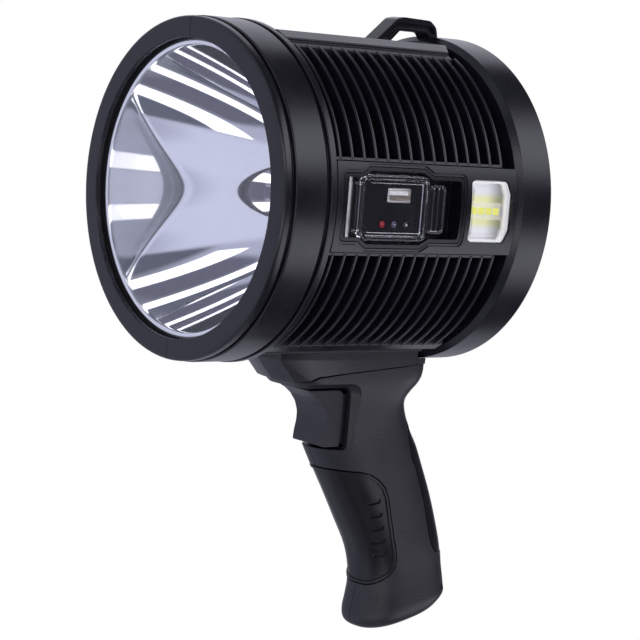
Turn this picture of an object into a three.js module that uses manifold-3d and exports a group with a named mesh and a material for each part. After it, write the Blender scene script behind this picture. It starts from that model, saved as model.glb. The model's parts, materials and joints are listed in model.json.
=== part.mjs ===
// Handheld camping spotlight: a finned barrel with a deep reflector, a pistol grip with a
// trigger, a charging bay behind a clear hinged cover and a small side lamp.
// Millimetres, +Z up. The beam points along -Y. The origin is the centre of the flat rear face.
import * as THREE from "three";
import { mergeVertices } from "three/addons/utils/BufferGeometryUtils.js";
import Module from "manifold-3d";

const wasm = await Module();
wasm.setup();

// Counts and angles
const roundSteps = 40;
const ringSteps = 32;
const smallSteps = 10;
const screwSteps = 8;
const cellSteps = 16;
const sectionSteps = 16;
const bowlRings = 6;
const finCount = 15;
const cellCount = 4;
const lampLedCount = 4;
const capScrewCount = 4;
const sinkFinCount = 7;

// Fits shared by every piece
const gap = 0.3;
const drillFit = 0.15;
const runningFit = 0.08;
const overrun = 20;
const weld = 1e-4;

// Barrel, measured back from the front face along the beam
const flangeRadius = 83.4;
const bezelDrop = 0.9;
const bezelLength = 7.4;
const bezelRound = 3.2;
const lipWidth = 10.4;
const lipDepth = 2.4;
const grooveWidth = 1.2;
const grooveDepth = 1.6;
const bandDrop = 0.4;
const bandLength = 16;
const flangeLength = 4.6;
const finDrop = 1;
const finDepth = 9;
const finThickness = 1.8;
const finPitch = 7.22;
const firstFinGap = 2.4;
const lastFinGap = 7.9;
const barrelWall = 3;
const bandWall = 4;
const seatShelf = 2.4;

// Rails that close the ends of the fins, above and below
const deckRise = 5.6;
const deckHalfWidth = 28;
const deckEdgeRise = 2.1;
const deckEdgeHalfWidth = 36;
const deckSkirt = 1.5;
const topFinEndX = 39.5;
const keelRise = 3.2;
const keelHalfWidth = 27;
const keelShoulderRise = 1.5;
const keelSkirtRise = 0.5;
const keelSkirtX = 36.5;
const bottomFinEndX = 42;
const keelTail = 4.3;
const deckCorner = 7.5;
const deckCornerWidth = 12;

// Rear cap
const capLength = 23.6;
const capWall = 3;
const capChamfer = 1.4;
const capRound = 3.1;
const capBossRadius = 5.5;
const capBossBite = 0.4;
const capBossLength = 20;
const capPostLength = 6.2;
const sealWidth = 1.8;
const sealLength = 2;

// Lens, seal and reflector
const lensThickness = 2.4;
const lensSealThickness = 0.8;
const lensSealWidth = 2.4;
const rimInset = 3.1;
const rimThickness = 1.8;
const rimDrop = 0.4;
const bowlWall = 1.8;
const bowlHoleRadius = 18.5;
const neckWall = 2.5;
const neckLength = 3.6;

// Emitter, its board and the heat sink
const emitterHalf = 4.5;
const emitterThickness = 0.8;
const emitterDomeRadius = 3.6;
const emitterDomeHeight = 0.5;
const emitterBoardRadius = 14;
const boardThickness = 1.6;
const pedestalRadius = 15.5;
const pedestalLength = 6.1;
const sinkRadius = 44;
const sinkPlate = 4;
const sinkFinThickness = 2;
const sinkFinPitch = 11;
const sinkFinLength = 14.4;

// Cells, their carrier and the driver board
const cellRadius = 9.2;
const cellLength = 65.2;
const cellSpace = 1;
const carrierPlate = 2.5;
const carrierCheek = 2.4;
const carrierCheekDepth = 20;
const driverMargin = 9.8;
const driverStandoff = 10.2;
const packRoom = 17;
const driverPostRadius = 3;
const driverPostInset = 8;
const driverPostCount = 3;

// Side plates between the two groups of fins
const plateMargin = 1.9;
const plateLedge = 1.4;
const ledgeSink = 0.4;

// Charging bay in the left side plate
const bayStart = 4.3;
const bayTabLength = 11.1;
const baySlope = 5;
const bayRearLength = 20;
const bayStep = 3.1;
const bayFrameHalf = 19.2;
const bayCorner = 2;
const bayWall = 1.8;
const baySink = 0.8;
const bayFloor = 2.5;

// Clear cover over the bay
const coverHingeSink = 3.4;
const coverHingeInset = 4.9;
const coverKnuckleRadius = 2.4;
const coverKnuckleRoom = 2.2;
const coverFrameGap = 1.2;
const fingerRoom = 11.3;
const coverFrameInset = 3.8;
const coverCorner = 2.6;
const coverWall = 2;
const coverSkirt = 5.6;
const coverTopSink = 0.2;
const coverTabLength = 9;
const coverTabRoom = 2.4;
const coverTabSink = 0.8;
const coverTabThickness = 1.8;
const coverPinRadius = 1.1;
const coverPinBite = 1.2;

// What sits in the bay: the socket, its board and three indicators
const socketWidth = 14.6;
const socketHeight = 6.9;
const socketWall = 0.7;
const socketDepth = 14;
const socketInset = 15.8;
const socketUp = 5.7;
const socketProud = 0.3;
const tongueWidth = 11.2;
const tongueThickness = 1.9;
const tongueDepth = 9;
const tongueLift = 1;
const bayBoardLength = 38;
const bayBoardHalf = 11;
const bayBoardInset = 17;
const bayPostRadius = 1.8;
const bayPostInset = 3;
const indicatorRadius = 1.7;
const indicatorInset = 9;
const indicatorPitch = 7.4;
const indicatorDrop = 8.1;
const indicatorCount = 3;

// Side lamp behind the bay
const lampLength = 27.1;
const lampTailMargin = 2.8;
const lampWeb = 3.9;
const lampMargin = 5.9;
const lampFrontCorner = 2.2;
const lampRearCorner = 6.6;
const lampRearCut = 3.4;
const lampLensThickness = 3.6;
const trayWall = 1.6;
const trayFloor = 1.3;
const trayLift = 0.6;
const lampBoardHalf = 4.2;
const lampBoardLength = 22;
const lampBoardThickness = 1;
const ledSize = 3.4;
const ledThickness = 0.8;
const ledPitch = 4.8;

// Strap loop over the joint of barrel and cap
const loopLength = 40.7;
const loopRise = 8.1;
const loopHalfWidth = 5;
const loopOverCap = 8;
const loopFrontTongue = 7;
const loopFrontTongueInset = 2;
const loopFrontTongueDepth = 4.5;
const loopRearTongue = 2.4;
const loopRearTongueDepth = 3;
const loopTongueHalf = 2.3;
const loopOuterShares = [[0.324, 0.92], [0.425, 1], [0.867, 0.96], [0.973, 0.7]];
const loopInnerShares = [[0.82, 0.45], [0.376, 0.45], [0.233, 0]];
const loopRearLegShare = 0.909;

// Saddle between barrel and grip
const saddleStart = 54.6;
const saddleLength = 94.4;
const saddleDepth = 16.7;
const saddleHalfWidth = 20.5;
const saddleNoseHalfWidth = 16;
const saddleNoseSweep = 2.6;
const saddleSideSweep = 7.4;
const saddleFrontShares = [[0, 0], [0.005, 0.27], [0.117, 0.98]];
const saddleSeamShares = [[0.227, 0.93], [0.28, 0.8], [0.428, 0.7], [1, 0.44]];
const wireHoleRadius = 4;
const wireHoleInset = 54.9;
const saddleScrewX = 13;
const saddleScrewInset = 26.9;
const saddleScrewTail = 14.5;
const saddleScrewLength = 16;

// Grip: each row gives the height, front, back, half width, base tilt and squareness of a section
const gripRoof = 3.1;
const gripDrop = 142.8;
const gripInset = 3.4;
const gripReach = 130;
const gripHalfWidth = 20.5;
const gripBaseSlope = 0.23;
const gripWall = 4;
const gripShares = [
  [0, 0, 0.746, 1, 0, 5],
  [0.077, 0.069, 0.742, 0.985, 0, 5],
  [0.108, 0.104, 0.726, 0.966, 0, 4.5],
  [0.136, 0.138, 0.7, 0.941, 0, 4],
  [0.167, 0.169, 0.682, 0.917, 0, 3.5],
  [0.223, 0.204, 0.7, 0.888, 0, 3],
  [0.286, 0.235, 0.744, 0.863, 0, 2.7],
  [0.348, 0.269, 0.792, 0.854, 0, 2.5],
  [0.418, 0.315, 0.829, 0.854, 0, 2.5],
  [0.523, 0.388, 0.882, 0.854, 0, 2.5],
  [0.627, 0.458, 0.925, 0.863, 0, 2.5],
  [0.732, 0.527, 0.96, 0.878, 0, 2.5],
  [0.801, 0.554, 0.972, 0.878, 0.1, 2.5],
  [0.857, 0.565, 0.985, 0.888, 0.25, 2.5],
  [0.902, 0.558, 0.994, 0.902, 0.5, 2.5],
  [0.94, 0.549, 0.998, 0.907, 0.8, 2.5],
  [0.967, 0.558, 0.978, 0.868, 1, 2.5],
  [0.988, 0.585, 0.946, 0.756, 1, 2.5],
  [1, 0.619, 0.905, 0.61, 1, 2.5],
];

// Recess for the trigger in the front of the grip
const triggerBayInset = 41.8;
const triggerBayDrop = 16.5;
const triggerBayHeight = 32.4;
const triggerBayRim = 2.2;
const triggerBayRimX = 16.2;
const triggerBayWall = 2.8;

// Trigger, its spring and the switch behind it
const triggerHalfWidth = 12.5;
const triggerTopMargin = 1.6;
const triggerHeight = 29.2;
const triggerReach = 26.4;
const triggerTravel = 3.5;
const triggerFrontShares = [
  [0, 0], [0.155, 0.09], [0.28, 0.17], [0.42, 0.31], [0.5, 0.48],
  [0.505, 0.7], [0.46, 0.87], [0.49, 1],
];
const triggerFlange = 1.5;
const triggerFlangeLip = 1.1;
const stemRadius = 3;
const stemLength = 5;
const springWall = 1.4;
const springFit = 0.4;
const springLength = 10;
const plungerRadius = 2.2;
const plungerLength = 8.8;
const switchLength = 16;
const switchHalfWidth = 7;
const switchHeight = 15;
const switchBore = 9;
const cradleRib = 2;
const cradleLip = 3;

// Soft inserts let into the grip
const padThickness = 2.2;
const padFit = 0.25;
const frontPadShares = [
  [0.33, 0.415], [0.44, 0.422], [0.49, 0.433], [0.535, 0.455], [0.572, 0.487],
  [0.592, 0.526], [0.612, 0.592], [0.636, 0.668], [0.657, 0.728], [0.664, 0.764],
  [0.66, 0.792], [0.644, 0.817], [0.61, 0.842], [0.575, 0.862], [0.49, 0.872],
];
const rearPadShares = [
  [0.9, 0.2], [0.735, 0.215], [0.69, 0.25], [0.686, 0.31], [0.705, 0.38], [0.732, 0.42],
  [0.76, 0.48], [0.785, 0.54], [0.808, 0.61], [0.828, 0.68], [0.848, 0.722], [0.88, 0.752],
  [0.93, 0.765], [1.1, 0.765],
];

// Screws and the lanyard hole
const gripScrewShares = [[0.45, 0.36], [0.745, 0.665], [0.735, 0.915]];
const topScrewDrop = 20.7;
const topScrewInset = 15.2;
const gripBossRadius = 4.2;
const gripScrewSeat = 10.5;
const lanyardRadius = 2.4;
const lanyardForward = 3.6;
const lanyardUpShare = 0.885;
const lanyardBossWall = 1.9;
const screwHeadRadius = 3;
const screwHeadHeight = 2.2;
const screwRadius = 1.5;
const screwSocketRadius = 1.3;
const screwSocketDepth = 1.2;
const capScrewLength = 13;
const gripScrewLength = 16;

// Radii and heights worked out from the sizes above
const bezelRadius = flangeRadius - bezelDrop;
const bandRadius = flangeRadius - bandDrop;
const finRadius = flangeRadius - finDrop;
const finRootRadius = finRadius - finDepth;
const lipRadius = bezelRadius - lipWidth;
const rimRadius = lipRadius - rimInset;
const barrelInner = finRootRadius - barrelWall;
const capBossOrbit = barrelInner - capBossRadius + capBossBite;
const driverRadius = capBossOrbit - capBossRadius - driverMargin;
const driverPostOrbit = driverRadius - driverPostInset;
const deckHeight = finRootRadius + deckRise;
const deckEdgeHeight = finRootRadius + deckEdgeRise;
const keelDrop = finRootRadius + keelRise;
const keelShoulderDrop = finRootRadius + keelShoulderRise;
const keelSkirtDrop = finRootRadius + keelSkirtRise;
const bayFloorX = finRootRadius + gap;
const coverHingeX = flangeRadius - coverHingeSink;
const coverTopRadius = flangeRadius - coverTopSink;
const loopHeight = flangeRadius + loopRise - deckHeight;
const saddleTop = keelDrop + gap;
const cellPitch = 2 * cellRadius + cellSpace;
const plateHalfHeight = bayFrameHalf + plateMargin;
const bayTabHalf = bayFrameHalf - bayStep;
const bayInsideHalf = bayTabHalf - gap - bayWall;
const coverKnuckleHalf = bayInsideHalf - coverKnuckleRoom;
const coverTabHalf = bayInsideHalf - coverTabRoom;
const coverFrameHalf = bayFrameHalf - coverFrameInset;
const lampHalf = plateHalfHeight - lampMargin;
const gripTop = saddleTop + gripRoof;
const gripStart = saddleStart + gripInset;
const triggerBayTop = gripTop + triggerBayDrop;
const triggerBayBottom = triggerBayTop + triggerBayHeight;
const triggerTop = triggerBayTop + triggerTopMargin;

// Stations worked out from the lengths above
const bandStart = bezelLength + grooveWidth;
const bandEnd = bandStart + bandLength;
const flangeStart = bandEnd + grooveWidth;
const flangeEnd = flangeStart + flangeLength;
const finStart = flangeEnd + firstFinGap;
const finEnd = finStart + (finCount - 1) * finPitch + finThickness;
const capStart = finEnd + lastFinGap + gap;
const headLength = capStart + capLength;
const railEnd = finEnd + keelTail;
const capInside = headLength - capWall;
const tailEnd = capInside - capPostLength;
const seatRadius = lipRadius + bandWall;
const lensSealStart = lipDepth + gap;
const lensStart = lensSealStart + lensSealThickness + gap;
const rimStart = lensStart + lensThickness + gap;
const seatEnd = rimStart + rimThickness + gap;
const bowlStart = rimStart + rimDrop;
const driverStart = capInside - driverStandoff - boardThickness;
const carrierStart = driverStart - packRoom - carrierCheekDepth - carrierPlate / 2;
const cellCentre = carrierStart + carrierPlate + gap + cellRadius;
const sinkFinEnd = carrierStart - gap;
const sinkStart = sinkFinEnd - sinkFinLength - sinkPlate;
const pedestalStart = sinkStart - pedestalLength;
const emitterBoardStart = pedestalStart - gap - boardThickness;
const emitterStart = emitterBoardStart - gap - emitterThickness - emitterDomeHeight;
const neckEnd = sinkStart - gap;
const bowlEnd = neckEnd - neckLength;
const focalLength = (rimRadius ** 2 - bowlHoleRadius ** 2) / (4 * (bowlEnd - bowlStart));
const vertex = bowlStart + rimRadius ** 2 / (4 * focalLength);
const plateStart = flangeEnd + gap;
const plateEnd = capStart - gap;
const plateInner = finRootRadius + gap;
const bayFront = flangeEnd + bayStart;
const lampEnd = plateEnd - lampTailMargin;
const lampStart = lampEnd - lampLength;
const bayRear = lampStart - lampWeb;
const coverHinge = bayFront + coverHingeInset;
const coverFrameStart = bayFront + bayTabLength + coverFrameGap;
const coverEnd = bayRear - fingerRoom;
const coverFrameEnd = coverEnd - coverTabLength;
const coverInnerRadius = coverTopRadius - coverWall;
const trayBase = finRootRadius + trayLift;
const lampLensBase = flangeRadius - lampLensThickness;
const loopEnd = capStart + loopOverCap;
const loopStart = loopEnd - loopLength;
const gripWaistShare = Math.min(...gripShares.map(([, , backShare]) => backShare));
const gripWaist = gripStart + gripWaistShare * gripReach;
const triggerBay = gripWaist - triggerBayInset;
const triggerBack = triggerBay + triggerBayWall + gap;
const stemEnd = triggerBack + triggerFlange + stemLength;
const springStart = triggerBack + triggerFlange + gap;
const switchStart = springStart + springLength + gap;
const triggerMiddle = triggerTop + triggerHeight / 2;

// Solids
function solid(geometry) {
  const bare = geometry.index ? geometry.toNonIndexed() : geometry.clone();
  bare.deleteAttribute("normal");
  bare.deleteAttribute("uv");
  const merged = mergeVertices(bare, weld);
  const places = merged.attributes.position.array;
  const corners = [];
  for (let i = 0; i < merged.index.count; i += 3) {
    const [a, b, c] = [0, 1, 2].map((step) => merged.index.getX(i + step));
    if (a !== b && b !== c && c !== a) corners.push([a, b, c]);
  }
  const at = (i) => new THREE.Vector3().fromArray(places, 3 * i);
  const volume = corners.reduce((sum, [a, b, c]) => sum + at(a).dot(at(b).cross(at(c))), 0);
  const outward = volume < 0 ? corners.map(([a, b, c]) => [a, c, b]) : corners;
  return new wasm.Manifold(new wasm.Mesh({
    numProp: 3,
    vertProperties: Float32Array.from(places),
    triVerts: Uint32Array.from(outward.flat()),
  }));
}

const join = (first, ...rest) => rest.reduce((whole, next) => whole.add(next), first);
const cut = (first, ...rest) => rest.reduce((whole, next) => whole.subtract(next), first);
const common = (first, ...rest) => rest.reduce((whole, next) => whole.intersect(next), first);

// A body turned about the beam axis, from pairs of radius and station
function turned(pairs, steps = roundSteps) {
  return solid(new THREE.LatheGeometry(pairs.map(([r, y]) => new THREE.Vector2(r, y)), steps));
}

function ring(inner, outer, start, end, steps = ringSteps) {
  return turned([[inner, start], [outer, start], [outer, end], [inner, end], [inner, start]], steps);
}

function disc(radius, start, end, steps = roundSteps) {
  return turned([[0, start], [radius, start], [radius, end], [0, end]], steps);
}

function block(low, high) {
  const size = high.map((value, i) => value - low[i]);
  const box = new THREE.BoxGeometry(...size);
  return solid(box.translate(...high.map((value, i) => (value + low[i]) / 2)));
}

// A rod along one axis, named x, y or z, through a centre given in the other two
function rod(axis, radius, start, end, first, second, steps = smallSteps) {
  const shape = new THREE.CylinderGeometry(radius, radius, end - start, steps);
  const middle = (start + end) / 2;
  if (axis === "x") return solid(shape.rotateZ(Math.PI / 2).translate(middle, first, second));
  if (axis === "y") return solid(shape.translate(first, middle, second));
  return solid(shape.rotateX(Math.PI / 2).translate(first, second, middle));
}

function outlineShape(points) {
  return new THREE.Shape(points.map(([a, b]) => new THREE.Vector2(a, b)));
}

function extruded(points, depth) {
  return new THREE.ExtrudeGeometry(outlineShape(points), { depth, bevelEnabled: false });
}

// A side outline, in station and height, given its thickness across the part
function slabAcross(points, start, end) {
  const shape = extruded(points, end - start);
  const turn = new THREE.Matrix4().makeBasis(
    new THREE.Vector3(0, 1, 0), new THREE.Vector3(0, 0, 1), new THREE.Vector3(1, 0, 0));
  return solid(shape.applyMatrix4(turn).translate(start, 0, 0));
}

// A front outline, in width and height, given its length along the beam
function slabAlong(points, start, end) {
  const shape = extruded(points, end - start);
  const turn = new THREE.Matrix4().makeBasis(
    new THREE.Vector3(1, 0, 0), new THREE.Vector3(0, 0, 1), new THREE.Vector3(0, -1, 0));
  return solid(shape.applyMatrix4(turn).translate(0, end, 0));
}

// A plan outline, in width and station, given its height
function slabUp(points, start, end) {
  const shape = extruded(points, end - start);
  return solid(shape.translate(0, 0, start));
}

// A skin through rings of equal count, closed by a flat fan at each end
function loft(rings) {
  const count = rings[0].length;
  const index = [];
  for (let k = 0; k + 1 < rings.length; k += 1) {
    for (let i = 0; i < count; i += 1) {
      const next = (i + 1) % count;
      const [a, b] = [k * count + i, k * count + next];
      index.push(a, b, b + count, a, b + count, a + count);
    }
  }
  const last = (rings.length - 1) * count;
  for (let i = 1; i + 1 < count; i += 1) {
    index.push(0, i + 1, i, last, last + i, last + i + 1);
  }
  const shape = new THREE.BufferGeometry();
  shape.setAttribute("position", new THREE.Float32BufferAttribute(rings.flat(2), 3));
  shape.setIndex(index);
  return solid(shape);
}

// Mirrored boxes that keep one half of the part, clear of the seam
function halfSpace(side) {
  const reach = 2 * flangeRadius;
  const [near, far] = [side * gap / 2, side * reach];
  return block([Math.min(near, far), -reach, -2 * reach], [Math.max(near, far), 2 * reach, reach]);
}

const finishes = {
  satin: { color: 0x26252b, roughness: 0.5, metalness: 0 },
  matte: { color: 0x232227, roughness: 0.7, metalness: 0 },
  soft: { color: 0x1b1b1e, roughness: 0.85, metalness: 0 },
  clear: { color: 0xe8edf2, roughness: 0.05, metalness: 0 },
  mirror: { color: 0xf2f2f6, roughness: 0.05, metalness: 1 },
  white: { color: 0xf2f2ee, roughness: 0.5, metalness: 0 },
  steel: { color: 0xb8b4b4, roughness: 0.3, metalness: 1 },
  aluminium: { color: 0xc4c6ca, roughness: 0.4, metalness: 1 },
  board: { color: 0x1d5a35, roughness: 0.5, metalness: 0 },
  phosphor: { color: 0xf0e060, roughness: 0.4, metalness: 0 },
  wrap: { color: 0x2f6f9f, roughness: 0.4, metalness: 0 },
  red: { color: 0xd02a30, roughness: 0.3, metalness: 0 },
  frosted: { color: 0xaab0c4, roughness: 0.3, metalness: 0 },
};

const spotlight = new THREE.Group();
const lamp = new THREE.Group();
lamp.position.y = -headLength;
spotlight.add(lamp);

function shapeOf(body) {
  const mesh = body.getMesh();
  const shape = new THREE.BufferGeometry();
  shape.setAttribute("position", new THREE.BufferAttribute(Float32Array.from(mesh.vertProperties), 3));
  shape.setIndex(new THREE.BufferAttribute(Uint32Array.from(mesh.triVerts), 1));
  shape.computeVertexNormals();
  return shape;
}

function piece(name, body, finish) {
  const mesh = new THREE.Mesh(shapeOf(body), new THREE.MeshStandardMaterial(finishes[finish]));
  mesh.name = name;
  lamp.add(mesh);
  return mesh;
}

// A pan-head screw whose seat is at zero and whose shank points along +Y
function screw(length) {
  return turned([
    [0, -screwHeadHeight + screwSocketDepth],
    [screwSocketRadius, -screwHeadHeight + screwSocketDepth],
    [screwSocketRadius, -screwHeadHeight],
    [screwHeadRadius, -screwHeadHeight],
    [screwHeadRadius, 0],
    [screwRadius, 0],
    [screwRadius, length - screwRadius],
    [0, length],
  ], screwSteps);
}

// Barrel
function barrelShell() {
  const grooveFloor = bezelRadius - grooveDepth;
  const bandFloor = bandRadius - grooveDepth;
  const bandInner = bandRadius - bandWall;
  const bend = bezelRound * (1 - Math.SQRT1_2);
  return turned([
    [lipRadius, 0],
    [bezelRadius - bezelRound, 0],
    [bezelRadius - bend, bend],
    [bezelRadius, bezelRound],
    [bezelRadius, bezelLength],
    [grooveFloor, bezelLength],
    [grooveFloor, bandStart],
    [bandRadius, bandStart],
    [bandRadius, bandEnd],
    [bandFloor, bandEnd],
    [bandFloor, flangeStart],
    [flangeRadius, flangeStart],
    [flangeRadius, flangeEnd],
    [finRootRadius, flangeEnd],
    [finRootRadius, tailEnd],
    [barrelInner, tailEnd],
    [barrelInner, flangeEnd],
    [bandInner, flangeStart],
    [bandInner, seatEnd + 2 * seatShelf],
    [lipRadius, seatEnd + seatShelf],
    [lipRadius, seatEnd],
    [seatRadius, seatEnd],
    [seatRadius, lipDepth],
    [lipRadius, lipDepth],
    [lipRadius, 0],
  ]);
}

function finComb() {
  const inner = finRootRadius - barrelWall / 2;
  const pairs = [[inner, finStart]];
  for (let k = 0; k < finCount; k += 1) {
    const start = finStart + k * finPitch;
    pairs.push([finRadius, start], [finRadius, start + finThickness]);
    const root = k + 1 < finCount ? finRootRadius : inner;
    pairs.push([root, start + finThickness]);
    if (k + 1 < finCount) pairs.push([finRootRadius, start + finPitch]);
  }
  pairs.push([inner, finStart]);
  const comb = turned(pairs);
  const reach = finRadius + overrun;
  const ledge = plateHalfHeight + gap + plateLedge;
  return cut(comb,
    block([-reach, 0, -ledge], [reach, headLength, ledge]),
    block([-topFinEndX, 0, 0], [topFinEndX, headLength, reach]),
    block([-bottomFinEndX, 0, -reach], [bottomFinEndX, headLength, 0]));
}

function plateLedges() {
  const reach = finRadius + overrun;
  const ledge = plateHalfHeight + gap + plateLedge;
  const inner = finRootRadius - barrelWall / 2;
  const sector = common(ring(inner, finRadius - ledgeSink, flangeEnd - gap, finEnd, roundSteps),
    block([-reach, 0, -ledge], [reach, headLength, ledge]));
  const slot = plateHalfHeight + gap;
  const seat = cut(block([-reach, flangeEnd, -slot], [reach, headLength, slot]),
    disc(finRootRadius, 0, headLength));
  return cut(sector, seat);
}

function rails() {
  const inner = finRootRadius - barrelWall / 2;
  const reach = finRadius + overrun;
  const band = ring(inner, reach, flangeEnd - gap, railEnd, roundSteps);
  const finTop = Math.sqrt(finRadius ** 2 - topFinEndX ** 2) - gap;
  const finFoot = Math.sqrt(finRadius ** 2 - bottomFinEndX ** 2) - gap;
  const mirrored = (points) => [...points, ...points.map(([x, z]) => [-x, z]).reverse()];
  const deck = mirrored([
    [topFinEndX, 0], [topFinEndX, finTop], [deckEdgeHalfWidth, deckEdgeHeight - deckSkirt],
    [deckEdgeHalfWidth, deckEdgeHeight], [deckHalfWidth, deckHeight],
  ]);
  const keel = mirrored([
    [bottomFinEndX, 0], [bottomFinEndX, -finFoot], [keelSkirtX, -keelSkirtDrop],
    [keelHalfWidth, -keelShoulderDrop], [keelHalfWidth, -keelDrop],
  ]);
  const corners = slabUp([
    [-reach, 0], [reach, 0], [reach, railEnd - deckCorner], [deckEdgeHalfWidth, railEnd - deckCorner],
    [deckEdgeHalfWidth - deckCornerWidth, railEnd], [deckCornerWidth - deckEdgeHalfWidth, railEnd],
    [-deckEdgeHalfWidth, railEnd - deckCorner], [-reach, railEnd - deckCorner],
  ], 0, reach);
  return join(common(band, slabAlong(deck, 0, headLength), corners),
    common(band, slabAlong(keel, 0, headLength)));
}

function orbit(count, radius, turn) {
  return Array.from({ length: count }, (unused, k) => {
    const angle = 2 * Math.PI * (k + turn) / count;
    return [radius * Math.cos(angle), radius * Math.sin(angle)];
  });
}

const capScrewPlaces = orbit(capScrewCount, capBossOrbit, 1 / 2);

function barrelBosses() {
  const bosses = capScrewPlaces.map(([x, z]) =>
    rod("y", capBossRadius, tailEnd - capBossLength, tailEnd, x, z));
  return common(join(...bosses), disc(finRootRadius - gap, 0, headLength));
}

function barrelScrewHoles() {
  return join(...capScrewPlaces.map(([x, z]) =>
    rod("y", screwRadius + drillFit, tailEnd - capScrewLength, tailEnd + overrun, x, z)));
}

const saddleScrewPlaces = [-1, 1].flatMap((side) =>
  [saddleStart + saddleScrewInset, railEnd - saddleScrewTail].map((y) => [side * saddleScrewX, y]));

// Stepped outline of the charging bay, drawn in by an inset
function bayOutline(inset) {
  const half = bayTabHalf - inset;
  const wide = bayFrameHalf - inset;
  const drawn = inset * Math.tan(Math.atan2(bayFrameHalf - bayTabHalf, baySlope) / 2);
  const frame = bayFront + bayTabLength + drawn;
  const frameEnd = bayRear - bayRearLength - baySlope - drawn;
  const upper = [
    [bayFront + inset, half - bayCorner],
    [bayFront + inset + bayCorner, half],
    [frame, half],
    [frame + baySlope, wide],
    [frameEnd, wide],
    [frameEnd + baySlope, half],
    [bayRear - inset - bayCorner, half],
    [bayRear - inset, half - bayCorner],
  ];
  return [...upper, ...upper.map(([y, z]) => [y, -z]).reverse()];
}

function barrel() {
  const tongue = block(
    [-loopTongueHalf - gap, loopStart + loopFrontTongueInset - gap,
      deckHeight - loopFrontTongueDepth - gap],
    [loopTongueHalf + gap, loopStart + loopFrontTongueInset + loopFrontTongue + gap,
      deckHeight + overrun]);
  const holes = saddleScrewPlaces.map(([x, y]) =>
    rod("z", screwRadius + drillFit, -saddleTop, -saddleTop + saddleScrewLength, x, y));
  const wires = rod("z", wireHoleRadius, -saddleTop, -barrelInner + barrelWall, 0,
    saddleStart + wireHoleInset);
  const body = join(barrelShell(), finComb(), plateLedges(), rails(), barrelBosses());
  return cut(body, tongue, barrelScrewHoles(), wires, ...holes);
}

const wholeBarrel = barrel();
const bayWell = slabAcross(bayOutline(0), barrelInner / 2, flangeRadius + overrun);
piece("barrel_left", cut(common(wholeBarrel, halfSpace(1)), bayWell), "satin");
piece("barrel_right", common(wholeBarrel, halfSpace(-1)), "satin");

// Rear cap with screw posts and board posts
function rearCap() {
  const edge = capRound * (1 - Math.SQRT1_2);
  const hole = finRootRadius + 2 * gap;
  const shell = turned([
    [0, capInside],
    [flangeRadius - capWall, capInside],
    [flangeRadius - capWall, capStart + capWall],
    [hole, capStart + capWall],
    [hole, capStart],
    [flangeRadius - capChamfer, capStart],
    [flangeRadius, capStart + capChamfer],
    [flangeRadius, headLength - capRound],
    [flangeRadius - edge, headLength - edge],
    [flangeRadius - capRound, headLength],
    [0, headLength],
  ]);
  const postStart = capInside - capPostLength;
  const posts = capScrewPlaces.map(([x, z]) =>
    rod("y", capBossRadius, postStart, capInside + gap, x, z));
  const boardPosts = orbit(driverPostCount, driverPostOrbit, 1 / 4).map(([x, z]) =>
    rod("y", driverPostRadius, driverStart + boardThickness + gap, capInside + gap, x, z));
  const seat = headLength - 2 * screwHeadHeight;
  const wells = capScrewPlaces.flatMap(([x, z]) => [
    rod("y", screwHeadRadius + gap, seat, headLength + overrun, x, z),
    rod("y", screwRadius + gap, postStart - overrun, headLength, x, z),
  ]);
  const slotStart = loopEnd - loopRearTongue - 2 * gap;
  const slot = block(
    [-loopTongueHalf - gap, slotStart - gap, flangeRadius - capWall - overrun / 2],
    [loopTongueHalf + gap, loopEnd - gap, flangeRadius + overrun]);
  return cut(join(shell, ...posts, ...boardPosts), slot, ...wells);
}

piece("rear_cap", rearCap(), "satin");
const sealInner = finRootRadius + gap;
const sealStart = capStart + capWall + gap;
piece("rear_cap_seal", ring(sealInner, sealInner + sealWidth, sealStart, sealStart + sealLength,
  roundSteps), "soft");

const capScrewShape = screw(capScrewLength);
capScrewPlaces.forEach(([x, z], k) => {
  const mesh = piece(`rear_cap_screw_${k + 1}`, capScrewShape, "steel");
  mesh.position.set(x, headLength - 2 * screwHeadHeight + drillFit, z);
  mesh.rotation.x = Math.PI;
});

// Lens, its seal and the reflector
const seatFit = seatRadius - gap;
piece("lens_seal", ring(seatFit - lensSealWidth, seatFit, lensSealStart,
  lensSealStart + lensSealThickness), "soft");
piece("front_lens", disc(seatFit, lensStart, lensStart + lensThickness), "clear");

function reflector() {
  const inside = [];
  const outside = [];
  for (let k = 0; k <= bowlRings; k += 1) {
    const radius = rimRadius + (bowlHoleRadius - rimRadius) * k / bowlRings;
    const station = vertex - radius ** 2 / (4 * focalLength);
    const lean = Math.hypot(radius / (2 * focalLength), 1);
    const outer = radius + bowlWall * radius / (2 * focalLength) / lean;
    inside.push([radius, station]);
    if (outer > bowlHoleRadius + neckWall + gap) outside.push([outer, station + bowlWall / lean]);
  }
  outside[0] = [outside[0][0], rimStart + rimThickness];
  return turned([
    [seatFit, rimStart],
    [rimRadius, rimStart],
    ...inside,
    [bowlHoleRadius, neckEnd],
    [bowlHoleRadius + neckWall, neckEnd],
    ...outside.reverse(),
    [seatFit, rimStart + rimThickness],
    [seatFit, rimStart],
  ], ringSteps);
}

piece("reflector", reflector(), "mirror");

// Emitter, board and heat sink
piece("led_emitter", join(
  block([-emitterHalf, emitterStart + emitterDomeHeight, -emitterHalf],
    [emitterHalf, emitterStart + emitterDomeHeight + emitterThickness, emitterHalf]),
  rod("y", emitterDomeRadius, emitterStart, emitterStart + 2 * emitterDomeHeight, 0, 0)), "phosphor");
piece("led_board", disc(emitterBoardRadius, emitterBoardStart, emitterBoardStart + boardThickness,
  cellSteps), "aluminium");

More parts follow.
